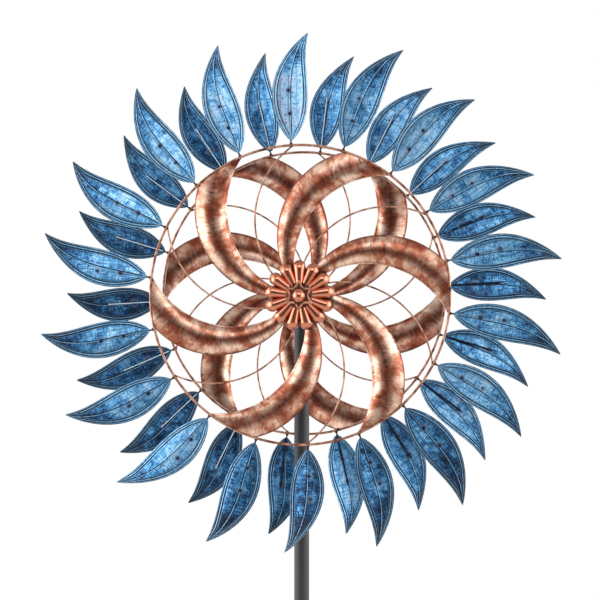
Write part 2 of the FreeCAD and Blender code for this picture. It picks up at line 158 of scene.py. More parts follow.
def ratio(name, description, default):
    """Setting for a plain ratio."""
    return bpy.props.FloatProperty(name=name, description=description, default=default, min=0.0)


def colour(name, description, code):
    """Setting for a colour, from its sRGB hex code."""
    return bpy.props.FloatVectorProperty(
        name=name, description=description, default=linear(code), size=4, min=0.0, max=1.0, subtype="COLOR")


class LeafSettings(bpy.types.PropertyGroup):
    size: length("Length", "Leaf's length along its stem's line", 0.125)
    width: length("Width", "Leaf's width at its widest", 0.043)
    hook: length("Hook", "Sideways throw of the tip", 0.029)
    lean: length("Lean", "Sideways lean of the root", 0.002)
    sheet: length("Sheet", "Thickness of the leaf's steel sheet", 0.0008)
    gap: length("Gap", "Ring to leaf root, along the stem", 0.004)
    pitch: turning("Pitch", "Turn of a leaf about its stem", 15.0)
    # The light blue also serves as the painted highlight on the leaves' raised beads
    light: colour("Light blue", "Rubbed-back high parts of the paint", "#9DCBEA")
    middle: colour("Blue", "Body colour of the paint", "#4B8FC2")
    deep: colour("Deep blue", "Paint that lies in the pressed texture", "#1B4A76")
    line: colour("Navy", "Dark wash in the pressed lines", "#0C1C30")


class WireSettings(bpy.types.PropertyGroup):
    curved: length("Curved wire", "Diameter of the curved wires", 0.002)
    stem: length("Stem wire", "Diameter of the leaf stems", 0.002)
    stem_length: length("Stem length", "Stem's reach from the ring", 0.068)
    bow: ratio("Bow", "Rise of a curved wire's arc, as a share of its chord", 0.217)
    bead: length("Weld bead", "Radius of a weld bead", 0.0021)
    bronze: colour("Bronze", "Body colour of the wires", "#C29580")
    shadow: colour("Umber", "Dark lacquer on the wires", "#3A231B")


class BladeSettings(bpy.types.PropertyGroup):
    depth: length("Depth", "How far the trough bulges out of the wheel's plane", 0.0085)
    sheet: length("Sheet", "Thickness of the blade's sheet", 0.0009)
    hem: length("Hem", "Radius of the rolled edge", 0.0009)
    root: length("Root radius", "Hub axis to the blade's root", 0.026)
    sweep: turning("Sweep", "Turn from ring end to root", 52.0)
    root_span: turning("Root span", "Angle across the root", 19.0)
    inner_bow: ratio("Inner bow", "Rise of the inner edge's arc, as a share of its chord", 0.226)
    outer_bow: ratio("Outer bow", "Rise of the outer edge's arc, as a share of its chord", 0.241)
    copper: colour("Copper", "Body colour of the lacquered copper", "#A8684E")
    # The rubbed copper's cream also stands in for a painted highlight, and the red copper darkens the crown
    # as painted shade
    rubbed_sheen: colour("Rubbed copper", "Bright rubbed parts of the lacquer", "#F0CFB7")
    rust: colour("Red copper", "Red parts of the lacquer", "#7C3520")
    brush: colour("Brush marks", "Dark brush marks in the lacquer", "#231712")


class FlowerSettings(bpy.types.PropertyGroup):
    petals: bpy.props.IntProperty(name="Petals", description="How many petals", default=13, min=3)
    lobe: length("Lobe", "Half width of a petal at its outer end", 0.0074)
    inner: length("Inner end", "Axis to a petal's inner end", 0.008)
    root: length("Root", "Half width of a petal at its inner end", 0.0036)
    tilt: turning("Tilt", "How much the inner ends stand out", 9.0)
    rim: length("Star rim", "Width of the star's raised edge", 0.0013)
    copper: colour("Polished copper", "Body colour of the flower", "#C67A5E")
    # The dark recess serves as painted shade between the petals, inside the star and under the ball
    recess: colour("Dark recess", "Dark wash between petals", "#1E0F0B")


class StandSettings(bpy.types.PropertyGroup):
    prong: length("Prong", "Radius of a ground prong", 0.004)
    spread: length("Spread", "Pole's axis to a prong's leg", 0.06)
    bend: length("Bend", "Bend radius of a prong", 0.014)
    arm: length("Arm height", "Height of a prong's arm above the ground", 0.015)
    prong_point: length("Prong point", "Length of a prong's point", 0.02)
    spike_point: length("Spike point", "Length of the centre spike's point", 0.03)
    coat: colour("Black", "Powder coat of the pole and stake", "#070708")


class StageSettings(bpy.types.PropertyGroup):
    floor: length("Floor", "Radius of the floor", 4.6)
    lens: bpy.props.FloatProperty(
        name="Lens", description="Camera's focal length", default=88.74, unit="CAMERA")
    camera: bpy.props.FloatVectorProperty(
        name="Camera", description="Camera's place from the front ring's centre",
        default=(0.0788, -1.714, 0.0336), subtype="XYZ", unit="LENGTH")
    aim: bpy.props.FloatVectorProperty(
        name="Aim", description="Point that the camera faces, from the front ring's centre",
        default=(0.0005, 0.0, -0.0055), subtype="XYZ", unit="LENGTH")
    key: bpy.props.FloatProperty(
        name="Key", description="Power of the key light", default=26.0, unit="POWER")


# ---- Skins: grids of points with their UV place and painted values

def polar(radius, degrees, depth=0.0):
    """Points in a wheel's own frame: angle from +X towards +Z, depth towards +Y."""
    angle = np.radians(degrees)
    radius, angle, depth = np.broadcast_arrays(radius, angle, depth)
    return np.stack([radius * np.cos(angle), depth, radius * np.sin(angle)], axis=-1).astype(float)


def pack(points, u, v, *values):
    """Joins points, UV place in millimetres and painted values into one array."""
    shape = points.shape[:-1]
    channels = [np.broadcast_to(c, shape)[..., None] for c in (u, v) + values]
    return np.concatenate([points] + channels, axis=-1)


def marked(skin, value):
    """The skin with one more painted value at each point."""
    value = np.broadcast_to(value, skin.shape[:-1])
    return np.concatenate([skin, value[..., None]], axis=-1)


def close_sheet(loops, mirror):
    """Closed skin of a thin sheet from the loops round its cross sections.

    Two facing points of a loop have indices that add up to mirror, counted round the loop.
    Each end is closed along the line half way between facing points.
    """
    count = loops.shape[1]
    partner = (mirror - np.arange(count)) % count
    ends = [(loops[k] + loops[k][partner]) * 0.5 for k in (0, -1)]
    grid = np.concatenate([ends[0][None], loops, ends[1][None]])
    return np.concatenate([grid, grid[:, :1]], axis=1)


def swept(path, radius, normal, sides=12, closed=False):
    """Round wire along a path in the plane square to normal.

    A section's points are path + radius (cos a side + sin a normal), where side is the
    tangent crossed with the normal. Open ends are closed onto the path's end points.
    """
    if closed:
        tangent = np.roll(path, -1, axis=0) - np.roll(path, 1, axis=0)
    else:
        tangent = np.gradient(path, axis=0)
    tangent /= np.linalg.norm(tangent, axis=1, keepdims=True)
    side = np.cross(tangent, normal)
    radius = np.broadcast_to(radius, len(path))[:, None, None]
    turn = np.linspace(0.0, 2.0 * math.pi, sides + 1)[None, :, None]
    grid = path[:, None] + radius * (np.cos(turn) * side[:, None] + np.sin(turn) * normal)
    step = np.linalg.norm(np.diff(path, axis=0), axis=1)
    along = np.concatenate([[0.0], np.cumsum(step)])
    if closed:
        grid = np.concatenate([grid, grid[:1]])
        along = np.append(along, along[-1] + step[-1])
    else:
        ends = [np.repeat(path[k][None, None], sides + 1, axis=1) for k in (0, -1)]
        grid = np.concatenate([ends[0], grid, ends[1]])
        along = np.concatenate([along[:1], along, along[-1:]])
    grid[:, -1] = grid[:, 0]
    around = turn[0, :, 0] * float(np.max(radius))
    return pack(grid, around[None, :], along[:, None])


def turned(outline, start, axis, sides=48, rim=None):
    """Body turned on a lathe: outline is (distance along the axis, radius) points.

    A point is start + along axis + radius (cos a, sin a) square to the axis. Where rim is
    given, it is a function of a, and the radius stops at it, as on a hexagon nut. An outline
    that doesn't start and end on the axis goes back to its first point.
    """
    outline = np.asarray(outline, float)
    if outline[0, 1] > 0.0 or outline[-1, 1] > 0.0:
        outline = np.concatenate([outline, outline[:1]])
    axis = np.asarray(axis, float)
    helper = UP if abs(axis[2]) < 0.9 else np.array([1.0, 0.0, 0.0])
    first = np.cross(helper, axis)
    first /= np.linalg.norm(first)
    second = np.cross(axis, first)
    turn = np.linspace(0.0, 2.0 * math.pi, sides + 1)
    radius = np.repeat(outline[:, 1:2], sides + 1, axis=1)
    if rim is not None:
        radius = np.minimum(radius, rim(turn)[None, :])
    ring = np.cos(turn)[:, None] * first + np.sin(turn)[:, None] * second
    grid = np.asarray(start, float) + outline[:, None, :1] * axis + radius[..., None] * ring[None]
    grid[:, -1] = grid[:, 0]
    step = np.hypot(*np.diff(outline, axis=0).T)
    along = np.concatenate([[0.0], np.cumsum(step)])
    return pack(grid, (turn * outline[:, 1].max())[None, :], along[:, None])


def eased(outline, radius, steps=5):
    """The outline with each inner corner replaced by a curve that starts radius before it."""
    outline = [np.asarray(p, float) for p in outline]
    share = np.linspace(0.0, 1.0, steps)[:, None]
    made = [outline[0][None]]
    for before, corner, after in zip(outline, outline[1:], outline[2:]):
        reach = [p - corner for p in (before, after)]
        cut = [corner + r * min(0.45, radius / max(np.linalg.norm(r), 1e-9)) for r in reach]
        made.append((1 - share) ** 2 * cut[0] + 2 * share * (1 - share) * corner + share ** 2 * cut[1])
    made.append(outline[-1][None])
    return np.concatenate(made)


def arc_between(start, end, bow, share):
    """Points of the arc from start to end in the wheel's plane, at the shares 0 to 1 of its turn.

    The arc rises to the left of its chord, seen from the wheel's outer face, by bow times
    the chord's length.
    """
    chord = end - start
    size = np.linalg.norm(chord)
    rise = bow * size
    radius = (size * size / 4.0 + rise * rise) / (2.0 * rise)
    along = chord / size
    side = np.array([-along[2], 0.0, along[0]])
    centre = (start + end) * 0.5 - side * (radius - rise)
    half = math.asin(size / 2.0 / radius)
    turn = (2.0 * np.asarray(share)[:, None] - 1.0) * half
    return centre + radius * (along * np.sin(turn) + side * np.cos(turn))


def blob(centre, radii, axes, sides=14, rings=9):
    """Weld bead: a ball stretched by three radii along three directions."""
    up = np.linspace(0.0, math.pi, rings)[:, None, None]
    turn = np.linspace(0.0, 2.0 * math.pi, sides + 1)[None, :, None]
    # A bead is not quite round: three low waves run round it, set by its place.
    wavy = 1.0 + 0.07 * np.sin(3.0 * turn + centre[0]) * np.sin(up) ** 2
    flat = np.sin(up) * wavy
    grid = centre + radii[0] * np.cos(up) * axes[0] + flat * (
        radii[1] * np.cos(turn) * axes[1] + radii[2] * np.sin(turn) * axes[2])
    grid[:, -1] = grid[:, 0]
    grid[0], grid[-1] = grid[0, 0], grid[-1, 0]
    return pack(grid, turn[..., 0] * radii[1], up[..., 0] * radii[0])


def triangles(skin):
    """Corner indices of a skin's triangles, turned so that its faces point outwards."""
    rows, columns = skin.shape[:2]
    index = np.arange(rows * columns).reshape(rows, columns)
    a, b, c, d = index[:-1, :-1], index[:-1, 1:], index[1:, 1:], index[1:, :-1]
    corners = np.concatenate([np.stack(t, -1).reshape(-1, 3) for t in ((a, b, c), (a, c, d))])
    flat = skin[..., :3].reshape(-1, 3)
    p = (flat - flat.mean(axis=0))[corners]
    volume = np.einsum("ij,ij->", p[:, 0], np.cross(p[:, 1], p[:, 2]))
    return corners if volume > 0.0 else corners[:, ::-1]


def welded(skins):
    """One triangle mesh from closed skins: vertices, triangles, corner UVs.

    Points of one skin in the same place become one vertex, and triangles with two corners
    in one place go.
    """
    flat = [skin.reshape(-1, skin.shape[-1]) for skin in skins]
    offsets = np.cumsum([0] + [len(part) for part in flat[:-1]])
    corners = np.concatenate([triangles(skin) + offset for skin, offset in zip(skins, offsets)])
    owner = np.repeat(np.arange(len(flat)), [len(part) for part in flat])
    data = np.concatenate(flat)
    key = np.column_stack([np.round(data[:, :3], 5) + 0.0, owner])
    first, place = np.unique(key, axis=0, return_index=True, return_inverse=True)[1:]
    vertex = place.reshape(-1)[corners]
    whole = (vertex[:, 0] != vertex[:, 1]) & (vertex[:, 1] != vertex[:, 2]) & (vertex[:, 2] != vertex[:, 0])
    return data[first], vertex[whole], data[corners[whole].reshape(-1), 3:5]


def piece(name, skins, finish, body, replaces=(), values=(), sharp=38.0, wheel=None):
    """Makes one visible piece from closed skins, with its finish by name and its body, and hides the CAD
    nodes it replaces.

    Skins of a wheel are in the wheel's own frame, and others in the world's.
    """
    data, faces, uvs = welded(skins)
    points = data[:, :3]
    if wheel:
        turn = WHEEL_TURN[wheel]
        points = points * np.array([turn, turn, 1.0]) + CENTRES[wheel]
    mesh = bpy.data.meshes.new(name)
    mesh.vertices.add(len(points))
    mesh.vertices.foreach_set("co", (points / MM).ravel())
    mesh.loops.add(faces.size)
    mesh.loops.foreach_set("vertex_index", faces.ravel())
    mesh.polygons.add(len(faces))
    mesh.polygons.foreach_set("loop_start", np.arange(0, faces.size, 3))
    mesh.polygons.foreach_set("use_smooth", np.ones(len(faces), bool))
    mesh.update(calc_edges=True)
    layer = mesh.uv_layers.new(name="surface")
    layer.uv.foreach_set("vector", (uvs / UV_SPAN).ravel())
    for number, value in enumerate(values):
        attribute = mesh.attributes.new(value, "FLOAT", "POINT")
        attribute.data.foreach_set("value", data[:, 5 + number].astype(np.float32))
    mesh.set_sharp_from_angle(angle=math.radians(sharp))
    if mesh.validate():
        raise RuntimeError(f"{name} has faces that are not sound")
    made = bpy.data.objects.new(name, mesh)
    bpy.context.scene.collection.objects.link(made)
    mesh.materials.append(painted(finish))
    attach(made, body)
    if replaces:
        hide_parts(*replaces)
    return made


# ---- Finishes

def paint(value):
    """A colour for a socket or a ramp: from a hex code, a setting or a shade of grey."""
    if isinstance(value, str):
        return linear(value)
    return (value, value, value, 1.0) if isinstance(value, float) else tuple(value)


def add(tree, kind, inputs=(), stops=(), **settings):
    """Adds one shader node.

    Settings are its properties. Inputs are its sockets' values, or what links to them, by
    socket or in the sockets' order, and a node among them links by its first output. Stops
    are the places and colours of a ramp.
    """
    made = tree.nodes.new("ShaderNode" + kind)
    for key, value in settings.items():
        setattr(made, key, value)
    for key, value in (inputs.items() if isinstance(inputs, dict) else enumerate(inputs)):
        if isinstance(value, bpy.types.Node):
            value = value.outputs[0]
        if isinstance(value, bpy.types.NodeSocket):
            tree.links.new(value, made.inputs[key])
        else:
            made.inputs[key].default_value = value
    for _ in stops[2:]:
        made.color_ramp.elements.new(0.5)
    for element, (place, value) in zip(made.color_ramp.elements if stops else (), stops):
        element.position, element.color = place, paint(value)
    return made


def blank(name, viewport):
    """New material with no nodes, and its tree."""
    material = bpy.data.materials.new(name)
    material.use_nodes = True
    material.node_tree.nodes.clear()
    material.diffuse_color = paint(viewport)
    return material, material.node_tree


def shade(tree, height, relief, **sockets):
    """Ends a material: the shader with its sockets, and a bump of height times relief mm."""
    sockets = {key.replace("_", " "): value for key, value in sockets.items()}
    sockets["Normal"] = add(tree, "Bump", {"Height": height, "Distance": relief / MM, "Strength": 1.0})
    add(tree, "OutputMaterial", {"Surface": add(tree, "BsdfPrincipled", sockets)})


def scaled(size):
    """Scale that makes a pattern on the UV map repeat about every size millimetres."""
    return UV_SPAN / size


def painted(name):
    """Finish by name, made the first time it is asked for."""
    return bpy.data.materials.get(name) or FINISHES[name](name)


def leaf_paint(name):
    """Antiqued enamel: satin blue metal paint on pressed steel, wiped with a navy wash.

    The wash stays in the pressed lines, in fine hatching and round the two welds, and the
    paint is rubbed light in patches and on the raised beads, where the light blue is also a
    painted highlight. Each leaf also carries painted light that changes round the wheel.
    """
    look = bpy.context.scene.sculpture_leaves
    material, tree = blank(name, look.middle)
    uv = add(tree, "UVMap", uv_map="surface")
    edge, rib, weld, tone = [
        add(tree, "Attribute", attribute_name=value).outputs["Fac"] for value in LEAF_VALUES]
    # Cloudy patches some 16 mm across, and hatching of strokes about 1.4 mm apart and 9 mm long,
    # one set along the leaf and one across it
    cloud = add(tree, "TexNoise", {"Vector": uv, "Scale": scaled(16.0), "Detail": 5.0, "Roughness": 0.62})
    hatches = []
    for across, along in ((1.3, 9.0), (9.0, 1.5)):
        place = add(tree, "Mapping", {"Vector": uv, "Scale": (scaled(across), scaled(along), 1.0)})
        hatches.append(add(tree, "TexNoise", {
            "Vector": place, "Scale": 1.0, "Detail": 2.0, "Distortion": 0.35}))
    hatch = add(tree, "Math", hatches, operation="MINIMUM")
    # The tone value brings each leaf's random shade of paint and its painted light from its place round the
    # wheel
    cloud_and_light_share = add(tree, "Math", (cloud, 0.6, tone), operation="MULTIPLY_ADD")
    body_tone_and_light = add(tree, "Math", (hatch, 0.7, cloud_and_light_share), operation="MULTIPLY_ADD")
    body = add(tree, "ValToRGB", {"Fac": body_tone_and_light}, [
        (0.45, look.line), (0.54, look.deep), (0.65, look.middle), (0.79, look.light), (0.86, "#A5AFD2")])
    # Wash, and rubbed paint with a painted highlight on the beads, by the distance from the edge in
    # centimetres: edge line, groove, bead, groove. In the midrib's two ramps, 0.5 is the midrib's own line.
    edge_share = add(tree, "Math", (edge, 0.1), operation="MULTIPLY")
    edge_wash = add(tree, "ValToRGB", {"Fac": edge_share}, [
        (0.0, 0.9), (0.05, 0.3), (0.11, 0.0), (0.165, 0.4), (0.205, 1.0), (0.275, 1.0), (0.33, 0.3),
        (0.37, 0.0), (0.43, 0.1), (0.49, 1.0), (0.57, 1.0), (0.66, 0.35), (0.85, 0.0)])
    edge_bead = add(tree, "ValToRGB", {"Fac": edge_share}, [
        (0.06, 0.0), (0.11, 0.55), (0.18, 0.1), (0.31, 0.0), (0.38, 0.8), (0.45, 0.0), (0.56, 0.0),
        (0.62, 0.45), (0.72, 0.0)])
    rib_share = add(tree, "Math", (rib, 0.1, 0.5), operation="MULTIPLY_ADD")
    rib_wash = add(tree, "ValToRGB", {"Fac": rib_share}, [
        (0.36, 0.0), (0.43, 0.3), (0.465, 1.0), (0.535, 1.0), (0.585, 0.0), (0.72, 0.0)])
    rib_bead = add(tree, "ValToRGB", {"Fac": rib_share}, [(0.57, 0.0), (0.60, 0.7), (0.64, 0.7), (0.68, 0.0)])
    # Ragged dark spot over each weld, some 3 mm across, in a burnt patch
    weld_share = add(tree, "Math", (cloud, 6.0, weld), operation="MULTIPLY_ADD")
    weld_wash = add(tree, "MapRange", (weld_share, 4.6, 6.6, 1.0, 0.0))
    halo = add(tree, "MapRange", (weld_share, 5.0, 10.0, 0.45, 0.0))
    # Veins: long waves along the leaf, about 10 mm apart, since a wave texture repeats every
    # 0.314 of a unit
    vein_wave = add(tree, "TexWave", {
        "Vector": uv, "Scale": scaled(31.4), "Distortion": 2.2, "Detail": 1.5,
        "Detail Scale": 0.8}, bands_direction="X")
    vein = add(tree, "ValToRGB", {"Fac": vein_wave}, [(0.0, 1.0), (0.16, 0.0)])
    vein_wash = add(tree, "Math", (vein, 0.42), operation="MULTIPLY")
    # Specks of wash about 3 mm apart
    speck = add(tree, "TexNoise", {"Vector": uv, "Scale": scaled(3.2), "Detail": 3.0})
    speck_wash = add(tree, "MapRange", (speck, 0.56, 0.70, 0.0, 0.75))
    wash = edge_wash
    for part in (rib_wash, weld_wash, vein_wash, speck_wash):
        wash = add(tree, "Math", (wash, part), operation="MAXIMUM")
    broken = add(tree, "MapRange", (cloud, 0.30, 0.5, 0.5, 1.0))
    wash = add(tree, "Math", (wash, broken), operation="MULTIPLY")
    bead = add(tree, "Math", (edge_bead, rib_bead), operation="MAXIMUM")
    # The beads take the light blue: rubbed-back paint with a painted highlight
    rubbed = add(tree, "Mix", {0: bead, 6: body, 7: look.light}, data_type="RGBA")
    burnt = add(tree, "Mix", {0: halo, 6: rubbed.outputs[2], 7: linear("#7D8DB0")}, data_type="RGBA")
    washed = add(tree, "Mix", {0: wash, 6: burnt.outputs[2], 7: look.line}, data_type="RGBA")
    rough = add(tree, "MapRange", (hatch, 0.3, 0.6, 0.44, 0.34))
    height = add(tree, "Math", (hatch, 0.7, cloud), operation="MULTIPLY_ADD")
    shade(tree, height, 0.35, Base_Color=washed.outputs[2], Metallic=0.8, Roughness=rough,
          Coat_Weight=0.1, Coat_Roughness=0.3)
    return material


def blade_lacquer(name):
    """Copper-coloured lacquer on rolled steel, with dark marks brushed across each blade.

    The marks lie thick along the crown and at the edges, over a warm copper that runs from
    red to rubbed bright. The crown and the outer hem darken to red as painted shade, and the
    marks gather there partly as painted shade; the bright cream is partly a painted highlight.
    """
    look = bpy.context.scene.sculpture_blades
    material, tree = blank(name, look.copper)
    uv = add(tree, "UVMap", uv_map="surface")
    across = add(tree, "Attribute", attribute_name="across").outputs["Fac"]
    # Brush marks about 3 mm apart and 12 mm long, and cloudy patches about 22 mm across
    place = add(tree, "Mapping", {"Vector": uv, "Scale": (scaled(12.0), scaled(3.2), 1.0)})
    strokes = add(tree, "TexNoise", {
        "Vector": place, "Scale": 1.0, "Detail": 4.0, "Roughness": 0.6, "Distortion": 0.4})
    cloud = add(tree, "TexNoise", {"Vector": uv, "Scale": scaled(22.0), "Detail": 4.0, "Roughness": 0.6})
    # Where the marks and the painted shade gather, from edge to edge: both hems' lines, and the crown at 0.5
    across_share = add(tree, "Math", (across, 0.5, 0.5), operation="MULTIPLY_ADD")
    marks_and_shade_zone = add(tree, "ValToRGB", {"Fac": across_share}, [
        (0.0, 0.0), (0.03, 0.0), (0.05, 0.7), (0.08, 0.2), (0.24, 0.08), (0.38, 0.55), (0.50, 1.0),
        (0.62, 0.65), (0.76, 0.08), (0.93, 0.15), (0.975, 0.7), (1.0, 1.0)])
    level = add(tree, "Math", (marks_and_shade_zone, -0.17, 0.65), operation="MULTIPLY_ADD")
    over = add(tree, "Math", (strokes, level), operation="SUBTRACT")
    marks = add(tree, "MapRange", (over, -0.07, 0.15, 0.0, 0.85))
    mottle = add(tree, "Math", (strokes, 0.3, cloud), operation="MULTIPLY_ADD")
    body = add(tree, "ValToRGB", {"Fac": mottle}, [(0.48, look.rust), (0.60, look.copper), (0.77, look.rubbed_sheen)])
    # Painted shade: the crown and outer hem darken towards red copper
    crown = add(tree, "Math", (marks_and_shade_zone, 0.85), operation="MULTIPLY")
    crown_shaded = add(tree, "Mix", {0: crown, 6: body, 7: look.rust}, data_type="RGBA")
    marked_body = add(tree, "Mix", {0: marks, 6: crown_shaded.outputs[2], 7: look.brush}, data_type="RGBA")
    rough = add(tree, "MapRange", (marks, 0.0, 0.9, 0.33, 0.55))
    shade(tree, strokes, 0.22, Base_Color=marked_body.outputs[2], Metallic=0.85, Roughness=rough,
          Coat_Weight=0.2, Coat_Roughness=0.2)
    return material


def noise_finish(name, viewport, layers, colours, rough, relief, value=None, **sockets):
    """Material of one or two layers of noise in Object coordinates, each (size in mm, detail).

    The first layer runs through the colours, after a painted value is added to it where one
    is given as (name, share of the layer). It also sets the roughness, which is one number or
    (from, to, roughness there, roughness here). The last layer stands up by relief mm.
    """
    material, tree = blank(name, viewport)
    where = add(tree, "TexCoord").outputs["Object"]
    noises = [add(tree, "TexNoise", {"Vector": where, "Scale": MM / size, "Detail": detail})
              for size, detail in layers]
    place = noises[0]
    if value:
        painted_value = add(tree, "Attribute", attribute_name=value[0]).outputs["Fac"]
        place = add(tree, "Math", (place, value[1], painted_value), operation="MULTIPLY_ADD")
    body = add(tree, "ValToRGB", {"Fac": place}, colours)
    if isinstance(rough, tuple):
        rough = add(tree, "MapRange", (noises[0],) + rough)
    shade(tree, noises[-1], relief, Base_Color=body, Roughness=rough, **sockets)
    return material


def polished_copper(name):
    """Polished copper plate under clear lacquer, with painted shade between and under its parts and a painted
    highlight on the star's rim.
    """
    look = bpy.context.scene.sculpture_flower
    # Buffing haze about 7 mm across, and fine buffing scratches drawn 0.8 mm apart
    # The cream stop is the painted highlight on the star's rim, and the dark recess the painted shade
    return noise_finish(
        name, look.copper, [(7.0, 4.0), (0.8, 1.0)],
        [(0.0, "#F2C4A0"), (0.10, look.copper), (0.45, look.copper), (0.95, look.recess)],
        (0.3, 0.7, 0.15, 0.24), 0.02, ("hollow", 0.4), Metallic=1.0, Coat_Weight=0.5,
        Coat_Roughness=0.08)


def bronze_wire(name):
    """Drawn steel wire in bronze lacquer, darker where the lacquer lies thick."""
    look = bpy.context.scene.sculpture_wires
    # Lacquer runs about 9 mm long, and draw marks drawn 1 mm apart
    return noise_finish(
        name, look.bronze, [(9.0, 4.0), (1.0, 2.0)],
        [(0.30, look.shadow), (0.44, "#93644F"), (0.62, look.bronze)], (0.0, 1.0, 0.5, 0.3), 0.05,
        Metallic=0.85)


def stem_enamel(name):
    """Stem wire in the leaves' blue enamel, with a painted highlight along its crowns, painted
    shade down both sides and on the stems at the lower right, and navy wash over the weld at the ring."""
    look = bpy.context.scene.sculpture_leaves
    # Worn patches about 5 mm long
    # The pale blue is the painted highlight and the navy the painted shade, set by the shadow value
    return noise_finish(
        name, "#1C2733", [(5.0, 5.0)], [(0.30, "#C4D8E6"), (0.42, "#6F98BC"), (0.56, look.line)],
        0.5, 0.06, ("shadow", 0.5), Metallic=0.2, Specular_IOR_Level=0.2)


def burnt_weld(name):
    """Weld bead painted over: dark umber, rippled, rough."""
    # Ripples about 1.2 mm apart
    return noise_finish(
        name, "#2A1A15", [(1.2, 3.0)], [(0.35, "#150D0B"), (0.65, "#5A3A2E")], 0.5, 0.25, Metallic=0.6)


def powder_coat(name):
    """Black powder coat on steel tube: satin, with a fine orange-peel skin."""
    look = bpy.context.scene.sculpture_stand
    # Dulled patches some 40 mm long, and orange peel about 1.6 mm across
    return noise_finish(
        name, look.coat, [(40.0, 5.0), (1.6, 1.5)], [(0.35, look.coat), (0.75, "#101012")],
        (0.3, 0.7, 0.30, 0.42), 0.06, Specular_IOR_Level=0.2)


def black_plastic(name):
    """Moulded black polyethylene: soft sheen, with a fine spark-eroded grain."""
    # Mould grain drawn 0.7 mm across
    return noise_finish(name, "#17181A", [(0.7, 2.0)], [(0.3, "#121315"), (0.7, "#222427")], 0.5, 0.05)


def zinc_plate(name):
    """Bright zinc plate on turned steel: cool grey with a faint yellow and blue cast."""
    # Spangle about 3 mm across
    return noise_finish(
        name, "#B9BDC1", [(3.0, 3.0)], [(0.35, "#9EA6AE"), (0.52, "#C6C8C6"), (0.70, "#B5AE9A")],
        (0.0, 1.0, 0.22, 0.42), 0.03, Metallic=1.0)


def bearing_steel(name):
    """Ground bearing steel with a film of oil."""
    # Oil film in patches about 4 mm across
    return noise_finish(
        name, "#8E9092", [(4.0, 2.0)], [(0.35, "#77797B"), (0.65, "#A4A6A8")],
        (0.0, 1.0, 0.14, 0.30), 0.01, Metallic=1.0)


def studio_floor(name):
    """Matt painted board, pale warm grey."""
    # Roller texture drawn 12 mm across
    return noise_finish(name, "#E9E8E5", [(12.0, 3.0)], [(0.3, "#E4E3E0"), (0.7, "#EEEDEA")], 0.85, 0.1)


FINISHES = {
    "antiqued_blue_enamel": leaf_paint,
    "brushed_copper_lacquer": blade_lacquer,
    "polished_copper": polished_copper,
    "bronze_lacquered_wire": bronze_wire,
    "blue_wire_with_painted_light": stem_enamel,
    "painted_weld": burnt_weld,
    "black_powder_coat": powder_coat,
    "moulded_black_plastic": black_plastic,
    "bright_zinc_plate": zinc_plate,
    "ground_bearing_steel": bearing_steel,
    "matt_floor_board": studio_floor,
}


# ---- Leaves

# Distances in mm of a leaf's grid lines from its edge and from its midrib
EDGE_LINES = np.array([0.0, 0.35, 0.8, 1.3, 1.8, 2.15, 2.5, 2.9, 3.4, 3.9, 4.4, 4.8, 5.15, 5.5, 6.0])
RIB_LINES = np.array([2.4, 1.7, 1.2, 0.8, 0.45, 0.2, 0.0])
FILL_LINES = 5
LEAF_ROWS = 96
LEAF_CUP = 0.005             # cross curvature: depth in mm for each mm squared off the stem's line
BAND_ROOM = 9.5              # half width in mm under which the edge lines draw together
# Pressed lines as (height, place, width) in mm: in from the edge, and beside the midrib
EDGE_PRESS = ((0.20, 1.1, 0.6), (-0.38, 2.4, 0.42), (0.42, 3.9, 0.80), (-0.38, 5.4, 0.45))
RIB_PRESS = ((0.45, 1.1, 0.55), (-0.50, 0.0, 0.38))
# How each leaf differs from the set one, from the first leaf of its wheel round to the last:
# sideways bend of its tip in mm, and its length as a share of the set length
LEAF_BENDS = {
    "front": (2.1, -3.2, 2.8, 2.1, 3.4, 10.1, -8.5, 4.6, -4.4,
              -14.1, 7.4, -7.8, -6.2, 0.9, -2.5, -5.5, -0.5, -4.6),
    "back": (-13.1, -6.9, -1.6, -1.8, -0.7, -2.5, -5.1, 1.4, 1.4,
             -1.8, -12.7, -22.7, -19.4, -17.3, -17.5, -12.7, -12.0, -5.3),
}
LEAF_SHARES = {
    "front": (0.99, 1.02, 0.998, 1.01, 1.02, 1.03, 1.03, 1.026, 1.04,
              1.03, 1.04, 0.98, 1.02, 1.03, 1.0, 1.04, 1.01, 1.0),
    "back": (0.92, 0.95, 0.93, 0.93, 0.94, 0.94, 0.93, 0.93, 0.97,
             0.97, 0.97, 0.98, 0.94, 0.98, 0.98, 0.91, 0.93, 0.92),
}
LEAF_SCATTER = (2.2, 1.2, 0.035)   # spread of the leaves' pitch in degrees, backward bend in mm, and shade
LEAF_SEED = 23
WELD_PLACES = (31.0, 58.0)   # mm from a leaf's root to its two welds on the stem
PATTERN_SHIFT = 90.0         # mm that the pattern moves on from leaf to leaf
LEAF_VALUES = ("edge_mm", "rib_mm", "weld_mm", "tone")


def groove(distance, place, width):
    """Bell curve: one at place, and falling off over width."""
    return np.exp(-((distance - place) / width) ** 2)


def smooth(value, low, high):
    """Zero below low, one above high, and an even S between."""
    share = np.clip((value - low) / (high - low), 0.0, 1.0)
    return share * share * (3.0 - 2.0 * share)


def angle_seen(angle, hand):
    """Angle round a wheel as it is seen from the front. The back wheel faces the other way."""
    return angle if hand > 0.0 else 180.0 - angle


def pressed(distance, lines):
    """Height of pressed lines over a sheet: each is a bell curve of (height, place, width)."""
    return sum(height * groove(distance, place, width) for height, place, width in lines)


def cosine(degrees):
    """Cosine of an angle in degrees."""
    return math.cos(math.radians(degrees))


